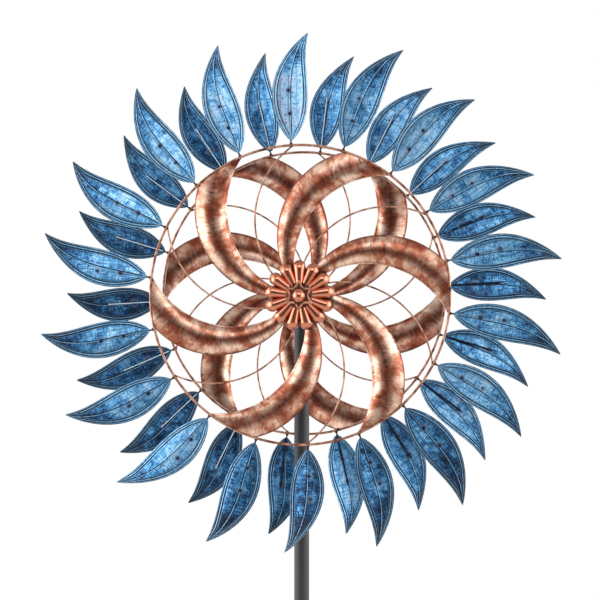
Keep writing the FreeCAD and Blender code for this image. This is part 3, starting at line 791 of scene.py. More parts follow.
def leaf_tone_and_light(t, angle, hand):
    """How much lighter than the middle a leaf's paint is, at the share t of its length.

    The wash is thicker towards the tips, and at a back leaf's root. Round the wheel it carries
    painted light in two cosine waves, for the way light falls on the pitched leaves: all leaves
    are lit lightest at the upper right, and beyond that front leaves are lit lightest at the top
    and back leaves at the foot.
    """
    tip, point, root = smooth(t, 0.45, 1.0), smooth(t, 0.78, 1.0), smooth(1.0 - t, 0.35, 0.9)
    washed = 0.24 * tip if hand > 0.0 else 0.025 + 0.10 * tip + 0.16 * point + 0.07 * root
    seen = angle_seen(angle, hand)
    return 0.055 - washed + 0.05 * hand * cosine(seen - 115.0) + 0.045 * cosine(seen - 55.0)


def leaf_skin(look, wheel, number, luck):
    """One pressed leaf as a closed sheet.

    With t the share of its length, the half width is half the width times sin(pi t^0.8) to
    the power 0.85. The middle runs off sideways by the lean, early, by the hook times t^4,
    and by the leaf's own bend times t^1.5. Grid lines follow the edge and the midrib, and
    the sheet rises and falls across them by bell curves: a bead, a groove, a bead and a
    groove inside the edge, and a ridge beside the midrib's groove.
    """
    hand, angle = WHEEL_TURN[wheel], PHASES[wheel] + STEM_PITCH * number
    reach, sheet = look.size * MM * LEAF_SHARES[wheel][number], look.sheet * MM
    pitch_error, bend, shade_error = luck.normal(0.0, LEAF_SCATTER)
    t = 0.5 - 0.5 * np.cos(np.linspace(0.0, math.pi, LEAF_ROWS))
    t = (0.004 + 0.991 * t)[:, None]       # both ends are cut off blunt
    half = 0.5 * look.width * MM * np.sin(math.pi * t ** 0.8) ** 0.85
    scale = np.minimum(1.0, half / BAND_ROOM)
    edge = EDGE_LINES[None] * scale
    rib = half - RIB_LINES[None] * scale
    fill = edge[:, -1:] + (rib[:, :1] - edge[:, -1:]) * np.linspace(0.0, 1.0, FILL_LINES + 2)[1:-1][None]
    left = np.concatenate([edge, fill, rib], axis=1)
    inward = np.concatenate([left, left[:, -2::-1]], axis=1)
    off_rib = np.concatenate([left - half, half - left[:, -2::-1]], axis=1)
    middle = -hand * (look.lean * MM * (1.0 - (1.0 - t) ** 6) + look.hook * MM * t ** 4)
    sideways = middle + LEAF_BENDS[wheel][number] * t ** 1.5 + off_rib
    edge_mm, rib_mm = inward / scale, off_rib / scale * hand
    relief = pressed(edge_mm, EDGE_PRESS) + smooth(edge_mm, 5.6, 8.0) * pressed(rib_mm, RIB_PRESS)
    relief *= scale * smooth(t, 0.0, 0.06)
    pitch = hand * (look.pitch + math.radians(pitch_error))
    radial, turned_way = polar(1.0, angle), polar(1.0, angle + 90.0)
    across = turned_way * math.cos(pitch) + OUT * math.sin(pitch)
    normal = OUT * math.cos(pitch) - turned_way * math.sin(pitch)
    lift = (bpy.context.scene.sculpture_wires.stem * MM + sheet) / 2.0
    root = polar(RING_OUTSIDE + look.gap * MM, angle) + normal * lift
    bent = bend * np.maximum(0.0, t - 0.5) ** 2 * 4.0 - LEAF_CUP * sideways ** 2
    flat = root + radial * (t * reach)[..., None] + across * sideways[..., None]
    weld = np.minimum(*[np.hypot(sideways, t * reach - place) for place in WELD_PLACES])
    # Random shade of the paint, plus painted light that changes with the leaf's place round the wheel
    tone = shade_error + leaf_tone_and_light(t, angle, hand)
    front, back = [
        pack(flat + normal * (bent + relief + side * sheet)[..., None], sideways,
             t * reach + PATTERN_SHIFT * number, edge_mm, rib_mm, weld, tone) for side in (0.5, -0.5)]
    loops = np.concatenate([front, back[:, ::-1]], axis=1)
    return close_sheet(loops, loops.shape[1] - 1)


class SCULPTURE_OT_leaves(bpy.types.Operator):
    """Makes the pressed leaves of both wheels, each one a little different."""

    bl_idname = "sculpture.leaves"
    bl_label = "Leaves"

    def execute(self, context):
        look, luck = context.scene.sculpture_leaves, np.random.default_rng(LEAF_SEED)
        for wheel in WHEEL_TURN:
            for i in range(LEAF_COUNT):
                piece(f"{wheel}_leaf_{i + 1:02d}", [leaf_skin(look, wheel, i, luck)], "antiqued_blue_enamel",
                      wheel + "_wheel", [f"{wheel}_leaves_{i // LEAVES_PER_NODE + 1}"],
                      values=LEAF_VALUES, wheel=wheel, sharp=50.0)
        return {"FINISHED"}


# ---- Rings, curved wires, stems and welds

RING_STEPS = 360
BUTT_WELD = 0.35             # mm by which the ring swells where its ends are welded
WIRE_STEPS = 56
STEM_STEPS = 24
STEM_CAP = np.radians([30, 60, 80])    # where the rows of a stem's rounded end lie
STEM_SINK = 0.3              # mm that a stem's foot is let into the ring


def ring_skin():
    """The wheel's ring: one wire bent round and butt-welded at its foot."""
    degrees = np.arange(RING_STEPS) * 360.0 / RING_STEPS
    swell = BUTT_WELD * groove(degrees, 270.0, 1.1)
    return swept(polar(RING_RADIUS, degrees), RING_WIRE / 2.0 + swell, OUT, sides=16, closed=True)


def curved_wire_path(wires, sweep, angle):
    """Arc from the hub plate's rim to the inside of the ring."""
    start = polar(PLATE_RADIUS, angle + sweep)
    end = polar(RING_INSIDE - wires.curved * MM / 4.0, angle)
    return arc_between(start, end, wires.bow, np.linspace(0.0, 1.0, WIRE_STEPS))


def stem_skin(wires, angle, hand):
    """Straight stem that stands on the ring, with a rounded end.

    The stems at the lower right, as seen from the front, carry painted shade, and the others keep a painted
    highlight along their crowns.
    """
    size, radius = wires.stem_length * MM, wires.stem * MM / 2.0
    shaft = np.linspace(0.0, size - radius, STEM_STEPS)
    height = np.concatenate([shaft, size - radius * (1.0 - np.sin(STEM_CAP))])
    thick = radius * np.concatenate([np.ones(STEM_STEPS), np.cos(STEM_CAP)])
    skin = swept(polar(RING_OUTSIDE - STEM_SINK + height, angle), thick, OUT, sides=16)
    # Painted shade down both sides of the wire, and a painted highlight along both crowns
    shadow = 1.0 - smooth(np.abs(np.sin(skin[..., 3] / radius + 0.5)), 0.25, 0.8)
    near = 1.0 - smooth(skin[..., 4], 3.0, 7.0)
    # Painted shade on the stems at the lower right, as seen from the front
    lower_right_shade = 0.9 * smooth(cosine(angle_seen(angle, hand) + 40.0), 0.3, 0.7)
    return marked(skin, np.maximum(np.maximum(shadow, near), lower_right_shade))


def beads(wires, wheel):
    """Weld beads of a ring: outside at each stem, and inside at each curved wire's end and at
    each blade's two corners."""
    phase, size = PHASES[wheel], wires.bead * MM
    spots = [(RING_OUTSIDE + 0.2, phase + STEM_PITCH * i, (0.8, 0.95, 0.8)) for i in range(LEAF_COUNT)]
    for i in range(BLADE_COUNT):
        first = phase + SECTOR * i
        for angle in (first + 2.0 * STEM_PITCH, first + 1.0, first + STEM_PITCH - 1.0):
            spots.append((RING_INSIDE, angle, (0.55, 1.0, 0.75)))
    return [
        blob(polar(radius, angle), size * np.array(shares),
             (polar(1.0, angle), polar(1.0, angle + 90.0), OUT)) for radius, angle, shares in spots]


class SCULPTURE_OT_wires(bpy.types.Operator):
    """Makes the rings, curved wires, leaf stems and weld beads of both wheels."""

    bl_idname = "sculpture.wires"
    bl_label = "Rings and wires"

    def execute(self, context):
        wires, blades = context.scene.sculpture_wires, context.scene.sculpture_blades
        sweep = math.degrees(blades.sweep)
        for wheel, hand in WHEEL_TURN.items():
            body, phase = wheel + "_wheel", PHASES[wheel]
            piece(f"{wheel}_ring_wire", [ring_skin()], "bronze_lacquered_wire", body,
                  [wheel + "_ring"], wheel=wheel)
            curved = []
            for i in range(BLADE_COUNT):
                path = curved_wire_path(wires, sweep, phase + 2.0 * STEM_PITCH + SECTOR * i)
                curved.append(swept(path, wires.curved * MM / 2.0, OUT))
            piece(f"{wheel}_curved_wire_set", curved, "bronze_lacquered_wire", body,
                  [wheel + "_curved_wires"], wheel=wheel)
            stems = [stem_skin(wires, phase + STEM_PITCH * i, hand) for i in range(LEAF_COUNT)]
            piece(f"{wheel}_stem_set", stems, "blue_wire_with_painted_light", body,
                  [wheel + "_leaf_stems"], values=("shadow",), wheel=wheel)
            piece(f"{wheel}_weld_beads", beads(wires, wheel), "painted_weld", body,
                  wheel=wheel, sharp=80.0)
        return {"FINISHED"}


# ---- Blades

BLADE_ROWS = 120
BLADE_COLUMNS = 36
HEM_POINTS = 11
HEM_OPENING = 148.0          # degrees, where a hem's roll meets the sheet
RING_FIT = 0.16              # last share of a blade that is trimmed to the ring's curve
BLADE_SHIFT = 230.0          # mm that the pattern moves on from blade to blade


def blade_skin(look, angle, number):
    """One trough blade as a closed sheet with rolled hems.

    Both edges are arcs from the hub plate to the ring. Between them the section is an arc
    that rises by the depth times sin(0.9 pi s), with s the share from root to ring. The end
    at the ring is drawn out until it lies along the ring's curve.
    """
    root, sweep, span = look.root * MM, math.degrees(look.sweep), math.degrees(look.root_span)
    s = np.linspace(0.0, 1.0, BLADE_ROWS)
    inner = arc_between(polar(root, angle + sweep), polar(RING_INSIDE, angle), look.inner_bow, s)
    outer_root, outer_tip = polar(root, angle + sweep + span), polar(RING_INSIDE, angle + STEM_PITCH)
    outer = arc_between(outer_root, outer_tip, look.outer_bow, s)
    chord = np.linalg.norm(outer - inner, axis=1)[:, None]
    rise = np.maximum(0.02, look.depth * MM * np.sin(0.9 * math.pi * s))[:, None]
    half_turn = 2.0 * np.arctan(2.0 * rise / chord)
    bend = chord / (2.0 * np.sin(half_turn))
    hem, half_sheet = look.hem * MM, look.sheet * MM / 2.0
    reach = half_turn - hem / bend
    turn = reach * np.linspace(-1.0, 1.0, BLADE_COLUMNS)[None]
    faces = []
    for level in (half_sheet, -half_sheet):
        u = (bend + level) * np.sin(turn)
        w = (bend + level) * np.cos(turn) - bend * np.cos(half_turn)
        faces.append((u, w))
    roll = np.radians(np.linspace(HEM_OPENING, -HEM_OPENING, HEM_POINTS))[None]
    tip_u = chord / 2.0 - hem / 2.0
    hem_u = tip_u + hem * (np.cos(roll) * np.cos(half_turn) + np.sin(roll) * np.sin(half_turn))
    hem_w = hem * (-np.cos(roll) * np.sin(half_turn) + np.sin(roll) * np.cos(half_turn))
    u = np.concatenate([faces[0][0], hem_u, faces[1][0][:, ::-1], -hem_u[:, ::-1]], axis=1)
    w = np.concatenate([faces[0][1], hem_w, faces[1][1][:, ::-1], hem_w[:, ::-1]], axis=1)
    middle = ((inner + outer) / 2.0)[:, None]
    side = ((outer - inner) / chord)[:, None]
    grid = middle + side * u[..., None] + OUT * w[..., None]
    radius = np.hypot(grid[..., 0], grid[..., 2])
    drawn = smooth(s, 1.0 - RING_FIT, 1.0)[:, None] * (RING_INSIDE / radius[-1:] - 1.0)
    grid[..., 0] *= 1.0 + drawn
    grid[..., 2] *= 1.0 + drawn
    run = np.linalg.norm(np.diff(middle[:, 0], axis=0), axis=1)
    along = np.concatenate([[0.0], np.cumsum(run)])[:, None]
    # Sections lie askew to the blade's run, so the UV place is resolved along and across it
    tangent = np.gradient(middle[:, 0], axis=0)
    tangent /= np.linalg.norm(tangent, axis=1, keepdims=True)
    skew = np.einsum("ij,ij->i", side[:, 0], tangent)[:, None]
    square = u * np.sqrt(1.0 - skew ** 2)
    loops = pack(grid, square, along + u * skew + BLADE_SHIFT * number, u / (chord / 2.0))
    return close_sheet(loops, 2 * BLADE_COLUMNS + HEM_POINTS - 1)


class SCULPTURE_OT_blades(bpy.types.Operator):
    """Makes the trough blades of both wheels."""

    bl_idname = "sculpture.blades"
    bl_label = "Blades"

    def execute(self, context):
        look = context.scene.sculpture_blades
        for wheel in WHEEL_TURN:
            for i in range(BLADE_COUNT):
                skin = blade_skin(look, PHASES[wheel] + SECTOR * i, i)
                piece(f"{wheel}_trough_blade_{i + 1}", [skin], "brushed_copper_lacquer", wheel + "_wheel",
                      [f"{wheel}_blade_{i + 1}"], values=("across",),
                      wheel=wheel, sharp=60.0)
        return {"FINISHED"}


# ---- Flower

PETAL_ROWS = 44
PETAL_SIDES = 48
BOSS_RADIUS = 11.5           # mm, the hub of the flower under the star
STAR_STEPS = 16              # from a point of the star to the notch beside it
# Distances in mm of the star's lines in from its edge, and its height there
STAR_OFFSETS = np.array([0.0, 0.12, 0.35, 0.65, 0.95, 1.2, 1.45, 1.8, 2.6, 4.0, 6.0, 9.0])
STAR_LEVELS = np.array([1.25, 1.62, 1.85, 1.9, 1.8, 1.4, 0.85, 0.62, 0.55, 0.55, 0.55, 0.55])


def petal_skin(look, angle):
    """One domed drop petal.

    Its half width grows evenly from the inner end to the lobe and closes in a quarter
    circle. Each section is a half round, flattened where it meets the flower's rear plane.
    """
    lobe, inner, root = look.lobe * MM, look.inner * MM, look.root * MM
    outside = (FLOWER_HIGH[0] - FLOWER_LOW[0]) / 2.0
    lobe_centre = outside - lobe
    slope = math.asin((lobe - root) / (lobe_centre - inner))
    straight = np.linspace(0.0, 1.0, PETAL_ROWS // 2)
    meet = np.array([lobe_centre - lobe * math.sin(slope), lobe * math.cos(slope)])
    outline = np.array([inner, root]) + straight[:, None] * (meet - np.array([inner, root]))
    turn = np.linspace(math.pi / 2.0 + slope, 0.0, PETAL_ROWS // 2 + 1)[1:]
    cap = np.stack([lobe_centre + lobe * np.cos(turn), lobe * np.sin(turn)], axis=1)
    outline = np.concatenate([[[inner, 0.0]], outline, cap])
    around = np.linspace(0.0, 2.0 * math.pi, PETAL_SIDES + 1)[None]
    x = np.repeat(outline[:, :1], PETAL_SIDES + 1, axis=1)
    side = outline[:, 1:] * np.cos(around)
    height = outline[:, 1:] * np.sin(around)
    lean, far = look.tilt, outside - x
    x = outside - far * math.cos(lean) - height * math.sin(lean)
    height = height * math.cos(lean) + far * math.sin(lean)
    crown = height - (outline[:, 1:] * math.cos(lean) + far * math.sin(lean))
    # Painted shade low on each petal's flanks, in the gaps between petals, and towards the inner end under
    # the star
    hollow = 0.95 * smooth(-crown, 3.2, 7.2) + 0.5 * smooth(inner + 9.0 - x, 0.0, 9.0)
    height = np.maximum(height, 0.0)
    points = (x[..., None] * polar(1.0, angle) + side[..., None] * polar(1.0, angle + 90.0)
              + (FLOWER_BACK + height)[..., None] * OUT)
    points[:, -1] = points[:, 0]
    points[0], points[-1] = points[0, 0], points[-1, 0]
    return pack(points, side, x, hollow)


def star_skin(look):
    """Six-pointed star with a raised rim.

    Its lines keep a set distance d from the edge: at angle a from the nearest point's
    direction, they lie at radius (half the star's radius - d) / cos(60 degrees - a).
    """
    flat = (STAR_HIGH[2] - AXLE_HEIGHT) / 2.0
    turn = np.arange(12 * STAR_STEPS + 1) * 30.0 / STAR_STEPS
    off = np.abs((turn + 30.0) % 60.0 - 30.0)
    offsets = np.minimum(STAR_OFFSETS, flat)
    offsets[-1] = flat
    reach = (flat - offsets)[:, None] / np.cos(np.radians(60.0 - off))[None]
    level = np.repeat(STAR_LEVELS[:, None], len(turn), axis=1)
    bottom = np.stack([np.zeros(len(turn)), reach[0]])
    reach = np.concatenate([bottom, reach])
    level = np.concatenate([np.zeros((2, len(turn))), level])
    inward = np.concatenate([[9.0, 0.0], offsets])[:, None]
    points = polar(reach, turn[None] + 90.0) + (STAR_SEAT + level)[..., None] * OUT
    points[:, -1] = points[:, 0]
    points[0], points[-1] = points[0, 0], points[-1, 0]
    rim = look.rim * MM
    # Painted shade inside the raised rim and on the star's underside, and a painted highlight on the rim
    hollow = 0.42 * smooth(inward, rim, rim * 1.6) - 0.5 * smooth(-inward, -rim, -0.6)
    return pack(points, points[..., 0], points[..., 2], hollow)


class SCULPTURE_OT_flower(bpy.types.Operator):
    """Makes the flower cap, its star and the ball at its centre."""

    bl_idname = "sculpture.flower"
    bl_label = "Flower"

    def execute(self, context):
        look = context.scene.sculpture_flower
        inner, floor = SLEEVE_RADIUS + 0.2, SLEEVE_FRONT + 0.2
        boss = eased([(FLOWER_BACK, inner), (FLOWER_BACK, inner + 2.0), (STAR_SEAT * 0.62, inner + 1.2),
                      (STAR_SEAT, BOSS_RADIUS), (STAR_SEAT, 0.0)], 1.2)
        boss = np.concatenate([[(floor, 0.0), (floor, inner)], boss])
        cap = [petal_skin(look, 90.0 + i * 360.0 / look.petals) for i in range(look.petals)]
        # The boss under the petals and the star takes painted shade all over
        cap.append(marked(turned(boss, ORIGIN, OUT, sides=72), 0.75))
        low, high = span_of("flower_ball")
        radius, top = (high[0] - low[0]) / 2.0, FRONT_PLANE - low[1]
        tall = np.linspace(-0.5, 1.0, 40) * math.pi / 2.0
        heights = np.clip(top - radius + radius * np.sin(tall), STAR_SEAT + 0.55, None)
        outline = np.stack([heights, radius * np.cos(tall)], axis=1)
        outline[-1] = (top, 0.0)
        outline = np.concatenate([[(heights[0], 0.0)], outline])
        # Painted shade on the back half of the ball, where it sits on the star
        hollow = smooth(top - radius * 0.55 - outline[:, :1], 0.0, radius * 0.8)
        ball = marked(turned(outline, ORIGIN, OUT, sides=64), hollow)
        for name, skins, node, sharp in (
                ("flower_cap", cap, "flower_petals", 70.0),
                ("flower_star_plate", [star_skin(look)], "flower_star", 35.0),
                ("flower_centre_ball", [ball], "flower_ball", 60.0)):
            piece(name, skins, "polished_copper", "front_wheel", [node],
                  values=("hollow",), wheel="front", sharp=sharp)
        return {"FINISHED"}


# ---- Hubs and axle

BEARING_BORE = 11.0          # mm, radius of a bearing's seat
BEARING_WIDTH = 7.0
WAIST_BORE = 9.5             # mm, radius of the sleeve's bore between the bearings
SHIELD_INNER = 5.9
SHIELD_OUTER = 9.3
SHIELD_DEPTH = 0.15          # mm that a bearing's shield lies inside the sleeve's end


def ring_outline(inner, outer, start, end, ease):
    """Outline of a plain ring with eased corners, as (along, radius) points."""
    middle = (inner + outer) / 2.0
    return eased([(start, middle), (start, outer), (end, outer), (end, inner), (start, inner),
                  (start, middle)], ease, 4)


def hexagon(across_flats):
    """Radius of a hexagon nut's side by angle, in radians, with a corner at angle zero."""
    def rim(turn):
        off = np.radians((np.degrees(turn) % 60.0) - 30.0)
        return across_flats / 2.0 / np.cos(off)
    return rim


class SCULPTURE_OT_hubs(bpy.types.Operator):
    """Makes the hub sleeves, hub plates, plate welds and bearing shields."""

    bl_idname = "sculpture.hubs"
    bl_label = "Hubs"

    def execute(self, context):
        seats = (BEARING_WIDTH - SLEEVE_FRONT, SLEEVE_REAR - BEARING_WIDTH)
        sleeve = eased([
            (0.0, WAIST_BORE), (seats[0], WAIST_BORE), (seats[0], BEARING_BORE),
            (-SLEEVE_FRONT, BEARING_BORE), (-SLEEVE_FRONT, SLEEVE_RADIUS), (SLEEVE_REAR, SLEEVE_RADIUS),
            (SLEEVE_REAR, BEARING_BORE), (seats[1], BEARING_BORE), (seats[1], WAIST_BORE),
            (0.0, WAIST_BORE)], 0.4, 4)
        start, end = PLATE_LOW[1] - FRONT_PLANE, PLATE_HIGH[1] - FRONT_PLANE
        plate = ring_outline(SLEEVE_RADIUS, PLATE_RADIUS, start, end, 0.6)
        seam = eased([(end, SLEEVE_RADIUS - 0.2), (end, SLEEVE_RADIUS + 1.8),
                      (end + 1.8, SLEEVE_RADIUS - 0.1), (end, SLEEVE_RADIUS - 0.2)], 0.8, 4)
        shields = []
        for face, way in ((SHIELD_DEPTH - SLEEVE_FRONT, 1.0), (SLEEVE_REAR - SHIELD_DEPTH, -1.0)):
            steps = [(0.0, SHIELD_OUTER), (0.0, 7.4), (0.35, 7.0), (0.35, SHIELD_INNER), (0.6, SHIELD_INNER),
                     (0.6, SHIELD_OUTER), (0.0, SHIELD_OUTER)]
            steps = [(face + way * depth, radius) for depth, radius in steps]
            shields.append(turned(eased(steps, 0.15, 3), ORIGIN, -OUT, sides=64))
        for wheel in WHEEL_TURN:
            body = wheel + "_wheel"
            piece(f"{wheel}_sleeve", [turned(sleeve, ORIGIN, -OUT, sides=72)], "bronze_lacquered_wire",
                  body, [wheel + "_hub_sleeve"], wheel=wheel)
            piece(f"{wheel}_plate", [turned(plate, ORIGIN, -OUT, sides=96)], "bronze_lacquered_wire",
                  body, [wheel + "_hub_plate"], wheel=wheel)
            piece(f"{wheel}_plate_weld", [turned(seam, ORIGIN, -OUT, sides=72)], "painted_weld", body,
                  wheel=wheel, sharp=80.0)
            piece(f"{wheel}_bearing_shields", shields, "ground_bearing_steel", body,
                  wheel=wheel)
        return {"FINISHED"}


NUT_HEIGHT = 6.5             # mm, the hexagon of the dome nut under its dome
WELD_LUMPS = 26


class SCULPTURE_OT_axle(bpy.types.Operator):
    """Makes the axle's spacers, washers, dome nut and cross tube, and finishes what stays plain."""

    bl_idname = "sculpture.axle"
    bl_label = "Axle"

    def execute(self, context):
        for node in ("axle_rod", "front_lock_nut", "bearing_spacers"):
            refinish(node, "bright_zinc_plate")
        for node in ("bearing_inner_rings", "front_bearing_outer_rings", "back_bearing_outer_rings",
                     "front_bearing_balls", "back_bearing_balls"):
            refinish(node, "ground_bearing_steel")
        axis, along = UP * AXLE_HEIGHT, -OUT
        bore, cross = radius_of("axle_rod") + 0.05, radius_of("axle_cross_tube")
        reach, spacer_end = span_of("axle_cross_tube")[1][1], span_of("axle_spacers")[1][1]
        nut_low, nut_high = span_of("rear_dome_nut")
        washer_start = CENTRES["back"][1] + SLEEVE_FRONT
        spacer = ring_outline(bore, radius_of("axle_spacers"), reach, spacer_end, 0.5)
        washer = ring_outline(bore, radius_of("axle_washers"), washer_start, nut_low[1], 0.3)
        piece("axle_spacer_tubes", [turned(spacer, axis, way) for way in (along, -along)],
              "bright_zinc_plate", "stand", ["axle_spacers"])
        piece("axle_washer_pair", [turned(washer, axis, way) for way in (along, -along)],
              "bright_zinc_plate", "stand", ["axle_washers"])
        flats, corner = nut_high[2] - nut_low[2], (nut_high[0] - nut_low[0]) / 2.0
        dome = flats / 2.0 - 0.8
        rise = np.linspace(0.0, math.pi / 2.0, 12)
        crown = np.stack([NUT_HEIGHT + dome * np.sin(rise), dome * np.cos(rise)], axis=1)
        crown[-1, 1] = 0.0
        outline = np.concatenate([
            [(0.0, 0.0), (0.0, corner - 0.7), (0.5, corner + 0.05), (NUT_HEIGHT - 0.9, corner + 0.05),
             (NUT_HEIGHT - 0.1, corner - 0.9), (NUT_HEIGHT, dome + 0.25)], crown])
        nut = turned(outline, axis + along * nut_low[1], along, sides=96, rim=hexagon(flats))
        piece("axle_dome_nut", [nut], "bright_zinc_plate", "stand",
              ["rear_dome_nut"], sharp=28.0)
        tube = turned(ring_outline(bore, cross, -reach, reach, 0.6), axis, along, sides=64)
        piece("axle_cross_sleeve", [tube], "black_powder_coat", "stand",
              ["axle_cross_tube"])
        # Fillet weld along the line where the cross tube leaves the pole
        turn = np.linspace(0.0, 2.0 * math.pi, 97)[:-1]
        x, z = cross * np.cos(turn), cross * np.sin(turn) + AXLE_HEIGHT
        y = np.sqrt(span_of("upper_pole")[1][0] ** 2 - x ** 2)
        lumps = 1.1 + 0.12 * np.sin(turn * WELD_LUMPS)
        fillets = [swept(np.stack([x, way * y, z], axis=1), lumps, along, sides=10, closed=True)
                   for way in (1.0, -1.0)]
        piece("cross_tube_welds", fillets, "black_powder_coat", "stand", sharp=80.0)
        return {"FINISHED"}


def refinish(node, finish):
    """Gives a CAD node that stays in view its finish."""
    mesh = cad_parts[node].data
    mesh.materials.clear()
    mesh.materials.append(painted(finish))


# ---- Pole and stake

TUBE_WALL = 1.2              # mm
SCREW_GAP = 40.0             # mm between the two screws of a coupler


class SCULPTURE_OT_pole(bpy.types.Operator):
    """Makes the three pole tubes, the cap and the coupler screws."""

    bl_idname = "sculpture.pole"
    bl_label = "Pole"

    def execute(self, context):
        for node in ("lower_coupler", "upper_coupler"):
            refinish(node, "bright_zinc_plate")
        for node in ("lower_pole", "middle_pole", "upper_pole"):
            low, high = span_of(node)
            radius, foot, head = high[0], low[2] + 0.1, high[2] - 0.1
            bore, middle = radius - TUBE_WALL, (foot + head) / 2.0
            outline = eased([
                (foot, radius - TUBE_WALL / 2.0), (foot, radius), (middle, radius), (head, radius),
                (head, bore), (foot, bore), (foot, radius - TUBE_WALL / 2.0)], 0.55, 4)
            piece(node + "_tube", [turned(outline, ORIGIN, UP, sides=64)], "black_powder_coat", "stand",
                  [node])
        top, radius = span_of("pole_cap")[1][2], span_of("pole_cap")[1][0]
        pole_top = span_of("upper_pole")[1][2]
        lid = eased([(pole_top + 0.05, 0.0), (pole_top + 0.05, radius), (pole_top + 1.3, radius),
                     (top - 0.2, radius * 0.72), (top, radius * 0.3), (top, 0.0)], 1.1, 6)
        piece("pole_end_cap", [turned(lid, ORIGIN, UP, sides=64)], "moulded_black_plastic", "stand",
              ["pole_cap"])
        low, high = span_of("coupler_screws")
        head, face = high[0], span_of("lower_pole")[1][1] - 0.1
        rise, lowest, highest = high[1] - face, low[2] + head, high[2] - head
        dome = np.linspace(0.0, 1.0, 14) * math.pi / 2.0
        shape = np.stack([rise * np.sin(dome) ** 0.8, head * np.cos(dome) ** 0.45], axis=1)
        shape[-1, 1] = 1.6
        outline = np.concatenate([[(0.0, 0.0)], shape, [(rise - 1.3, 1.45), (rise - 1.5, 0.0)]])
        screws = [turned(outline, np.array([0.0, face, height]), -OUT, sides=36)
                  for height in (lowest, lowest + SCREW_GAP, highest - SCREW_GAP, highest)]
        piece("coupler_screw_heads", screws, "bright_zinc_plate", "stand",
              ["coupler_screws"])
        return {"FINISHED"}


SPIKE_RADIUS = 6.0           # mm
PRONG_TURNS = (45.0, 135.0, 225.0, 315.0)
PRONG_ROWS = (8, 14, 18, 10)           # of the arm, the bend, the leg and the point


def prong_skin(look, turn, foot):
    """Bent ground prong: an arm out of the pole, a quarter bend, a leg and a blunt point."""
    spread, bend, arm = look.spread * MM, look.bend * MM, look.arm * MM
    radius, point = look.prong * MM, look.prong_point * MM
    pole = span_of("lower_pole")[1][0]
    out = np.linspace(pole - 1.5, spread - bend, PRONG_ROWS[0])
    quarter = np.linspace(0.0, math.pi / 2.0, PRONG_ROWS[1])[1:]
    drop = np.linspace(arm - bend, foot + point, PRONG_ROWS[2])[1:]
    tip = np.linspace(foot + point, foot, PRONG_ROWS[3])[1:]
    x = np.concatenate([out, spread - bend + bend * np.sin(quarter), np.full(len(drop) + len(tip), spread)])
    z = np.concatenate([np.full(len(out), arm), arm - bend + bend * np.cos(quarter), drop, tip])
    blunt = radius * ((tip - foot) / point) ** 0.85 + 0.05
    thick = np.concatenate([np.full(len(x) - len(tip), radius), blunt])
    angle = math.radians(turn)
    path = np.stack([x * math.cos(angle), x * math.sin(angle), z], axis=1)
    normal = np.array([-math.sin(angle), math.cos(angle), 0.0])
    return swept(path, thick, normal, sides=28)


class SCULPTURE_OT_stake(bpy.types.Operator):
    """Makes the centre spike, the four ground prongs and their welds."""

    bl_idname = "sculpture.stake"
    bl_label = "Stake"

    def execute(self, context):
        look = context.scene.sculpture_stand
        foot, pole = span_of("centre_spike")[0][2], span_of("lower_pole")[1][0]
        outline = eased([
            (foot, 0.0), (foot + 0.6, 0.5), (foot + look.spike_point * MM, SPIKE_RADIUS),
            (-2.0, SPIKE_RADIUS), (-0.3, pole - 0.6), (0.1, pole - 0.6), (0.1, 0.0)], 1.0, 5)
        piece("stake_spike", [turned(outline, ORIGIN, UP)], "black_powder_coat", "stand",
              ["centre_spike"])
        prong_foot = span_of("ground_prongs")[0][2]
        piece("stake_prongs", [prong_skin(look, turn, prong_foot) for turn in PRONG_TURNS],
              "black_powder_coat", "stand", ["ground_prongs"])
        prong, welds = look.prong * MM, []
        for turn in PRONG_TURNS:
            angle = math.radians(turn)
            out = np.array([math.cos(angle), math.sin(angle), 0.0])
            side = np.array([-math.sin(angle), math.cos(angle), 0.0])
            centre = out * (pole + 0.2) + UP * look.arm * MM
            welds.append(blob(centre, (1.9, prong + 1.1, prong + 1.5), (out, side, UP), 28, 13))
        piece("stake_prong_welds", welds, "black_powder_coat", "stand", sharp=80.0)
        return {"FINISHED"}


# ---- Stage

def area_light(name, place, aim, size, power):
    """Soft rectangular light that faces a point."""
    lamp = bpy.data.lights.new(name, "AREA")
    lamp.shape = "RECTANGLE"
    lamp.size, lamp.size_y = size
    lamp.energy = power
    made = bpy.data.objects.new(name, lamp)
    made.location = place
    made.rotation_euler = (Vector(aim) - Vector(place)).to_track_quat("-Z", "Y").to_euler()
    bpy.context.scene.collection.objects.link(made)


def studio_world():
    """White room for the camera, and for reflections a room that is bright above, at the
    sides and behind, and dark in front and below."""
    world = bpy.data.worlds.new("studio")
    bpy.context.scene.world = world
    world.use_nodes = True
    tree = world.node_tree
    tree.nodes.clear()
    parts = add(tree, "SeparateXYZ", [add(tree, "TexCoord").outputs["Generated"]])
    # Axis of each bright wall, where it starts and is full, and its brightness
    walls = [add(tree, "MapRange", (parts.outputs[axis], start, full, 0.0, power),
                 interpolation_type="SMOOTHSTEP")
             for axis, start, full, power in (("Z", 0.20, 0.80, 0.5), ("X", -0.42, -0.88, 2.7),
                                              ("X", 0.45, 0.90, 2.5), ("Y", 0.05, 0.9, 0.5))]
    room = walls[0]
    for wall in walls[1:]:
        room = add(tree, "Math", (room, wall), operation="MAXIMUM")
    below = add(tree, "MapRange", (parts.outputs["Z"], -0.75, -0.05, 0.12, 1.0),
                interpolation_type="SMOOTHSTEP")
    room = add(tree, "Math", (room, 0.17), operation="ADD")
    room = add(tree, "Math", (room, below), operation="MULTIPLY")
    lit = add(tree, "Background", {"Color": room, "Strength": 1.0})
    white = add(tree, "Background", {"Color": linear("#FFFFFF"), "Strength": 1.0})
    camera = add(tree, "LightPath").outputs["Is Camera Ray"]
    add(tree, "OutputWorld", {"Surface": add(tree, "MixShader", (camera, lit, white))})


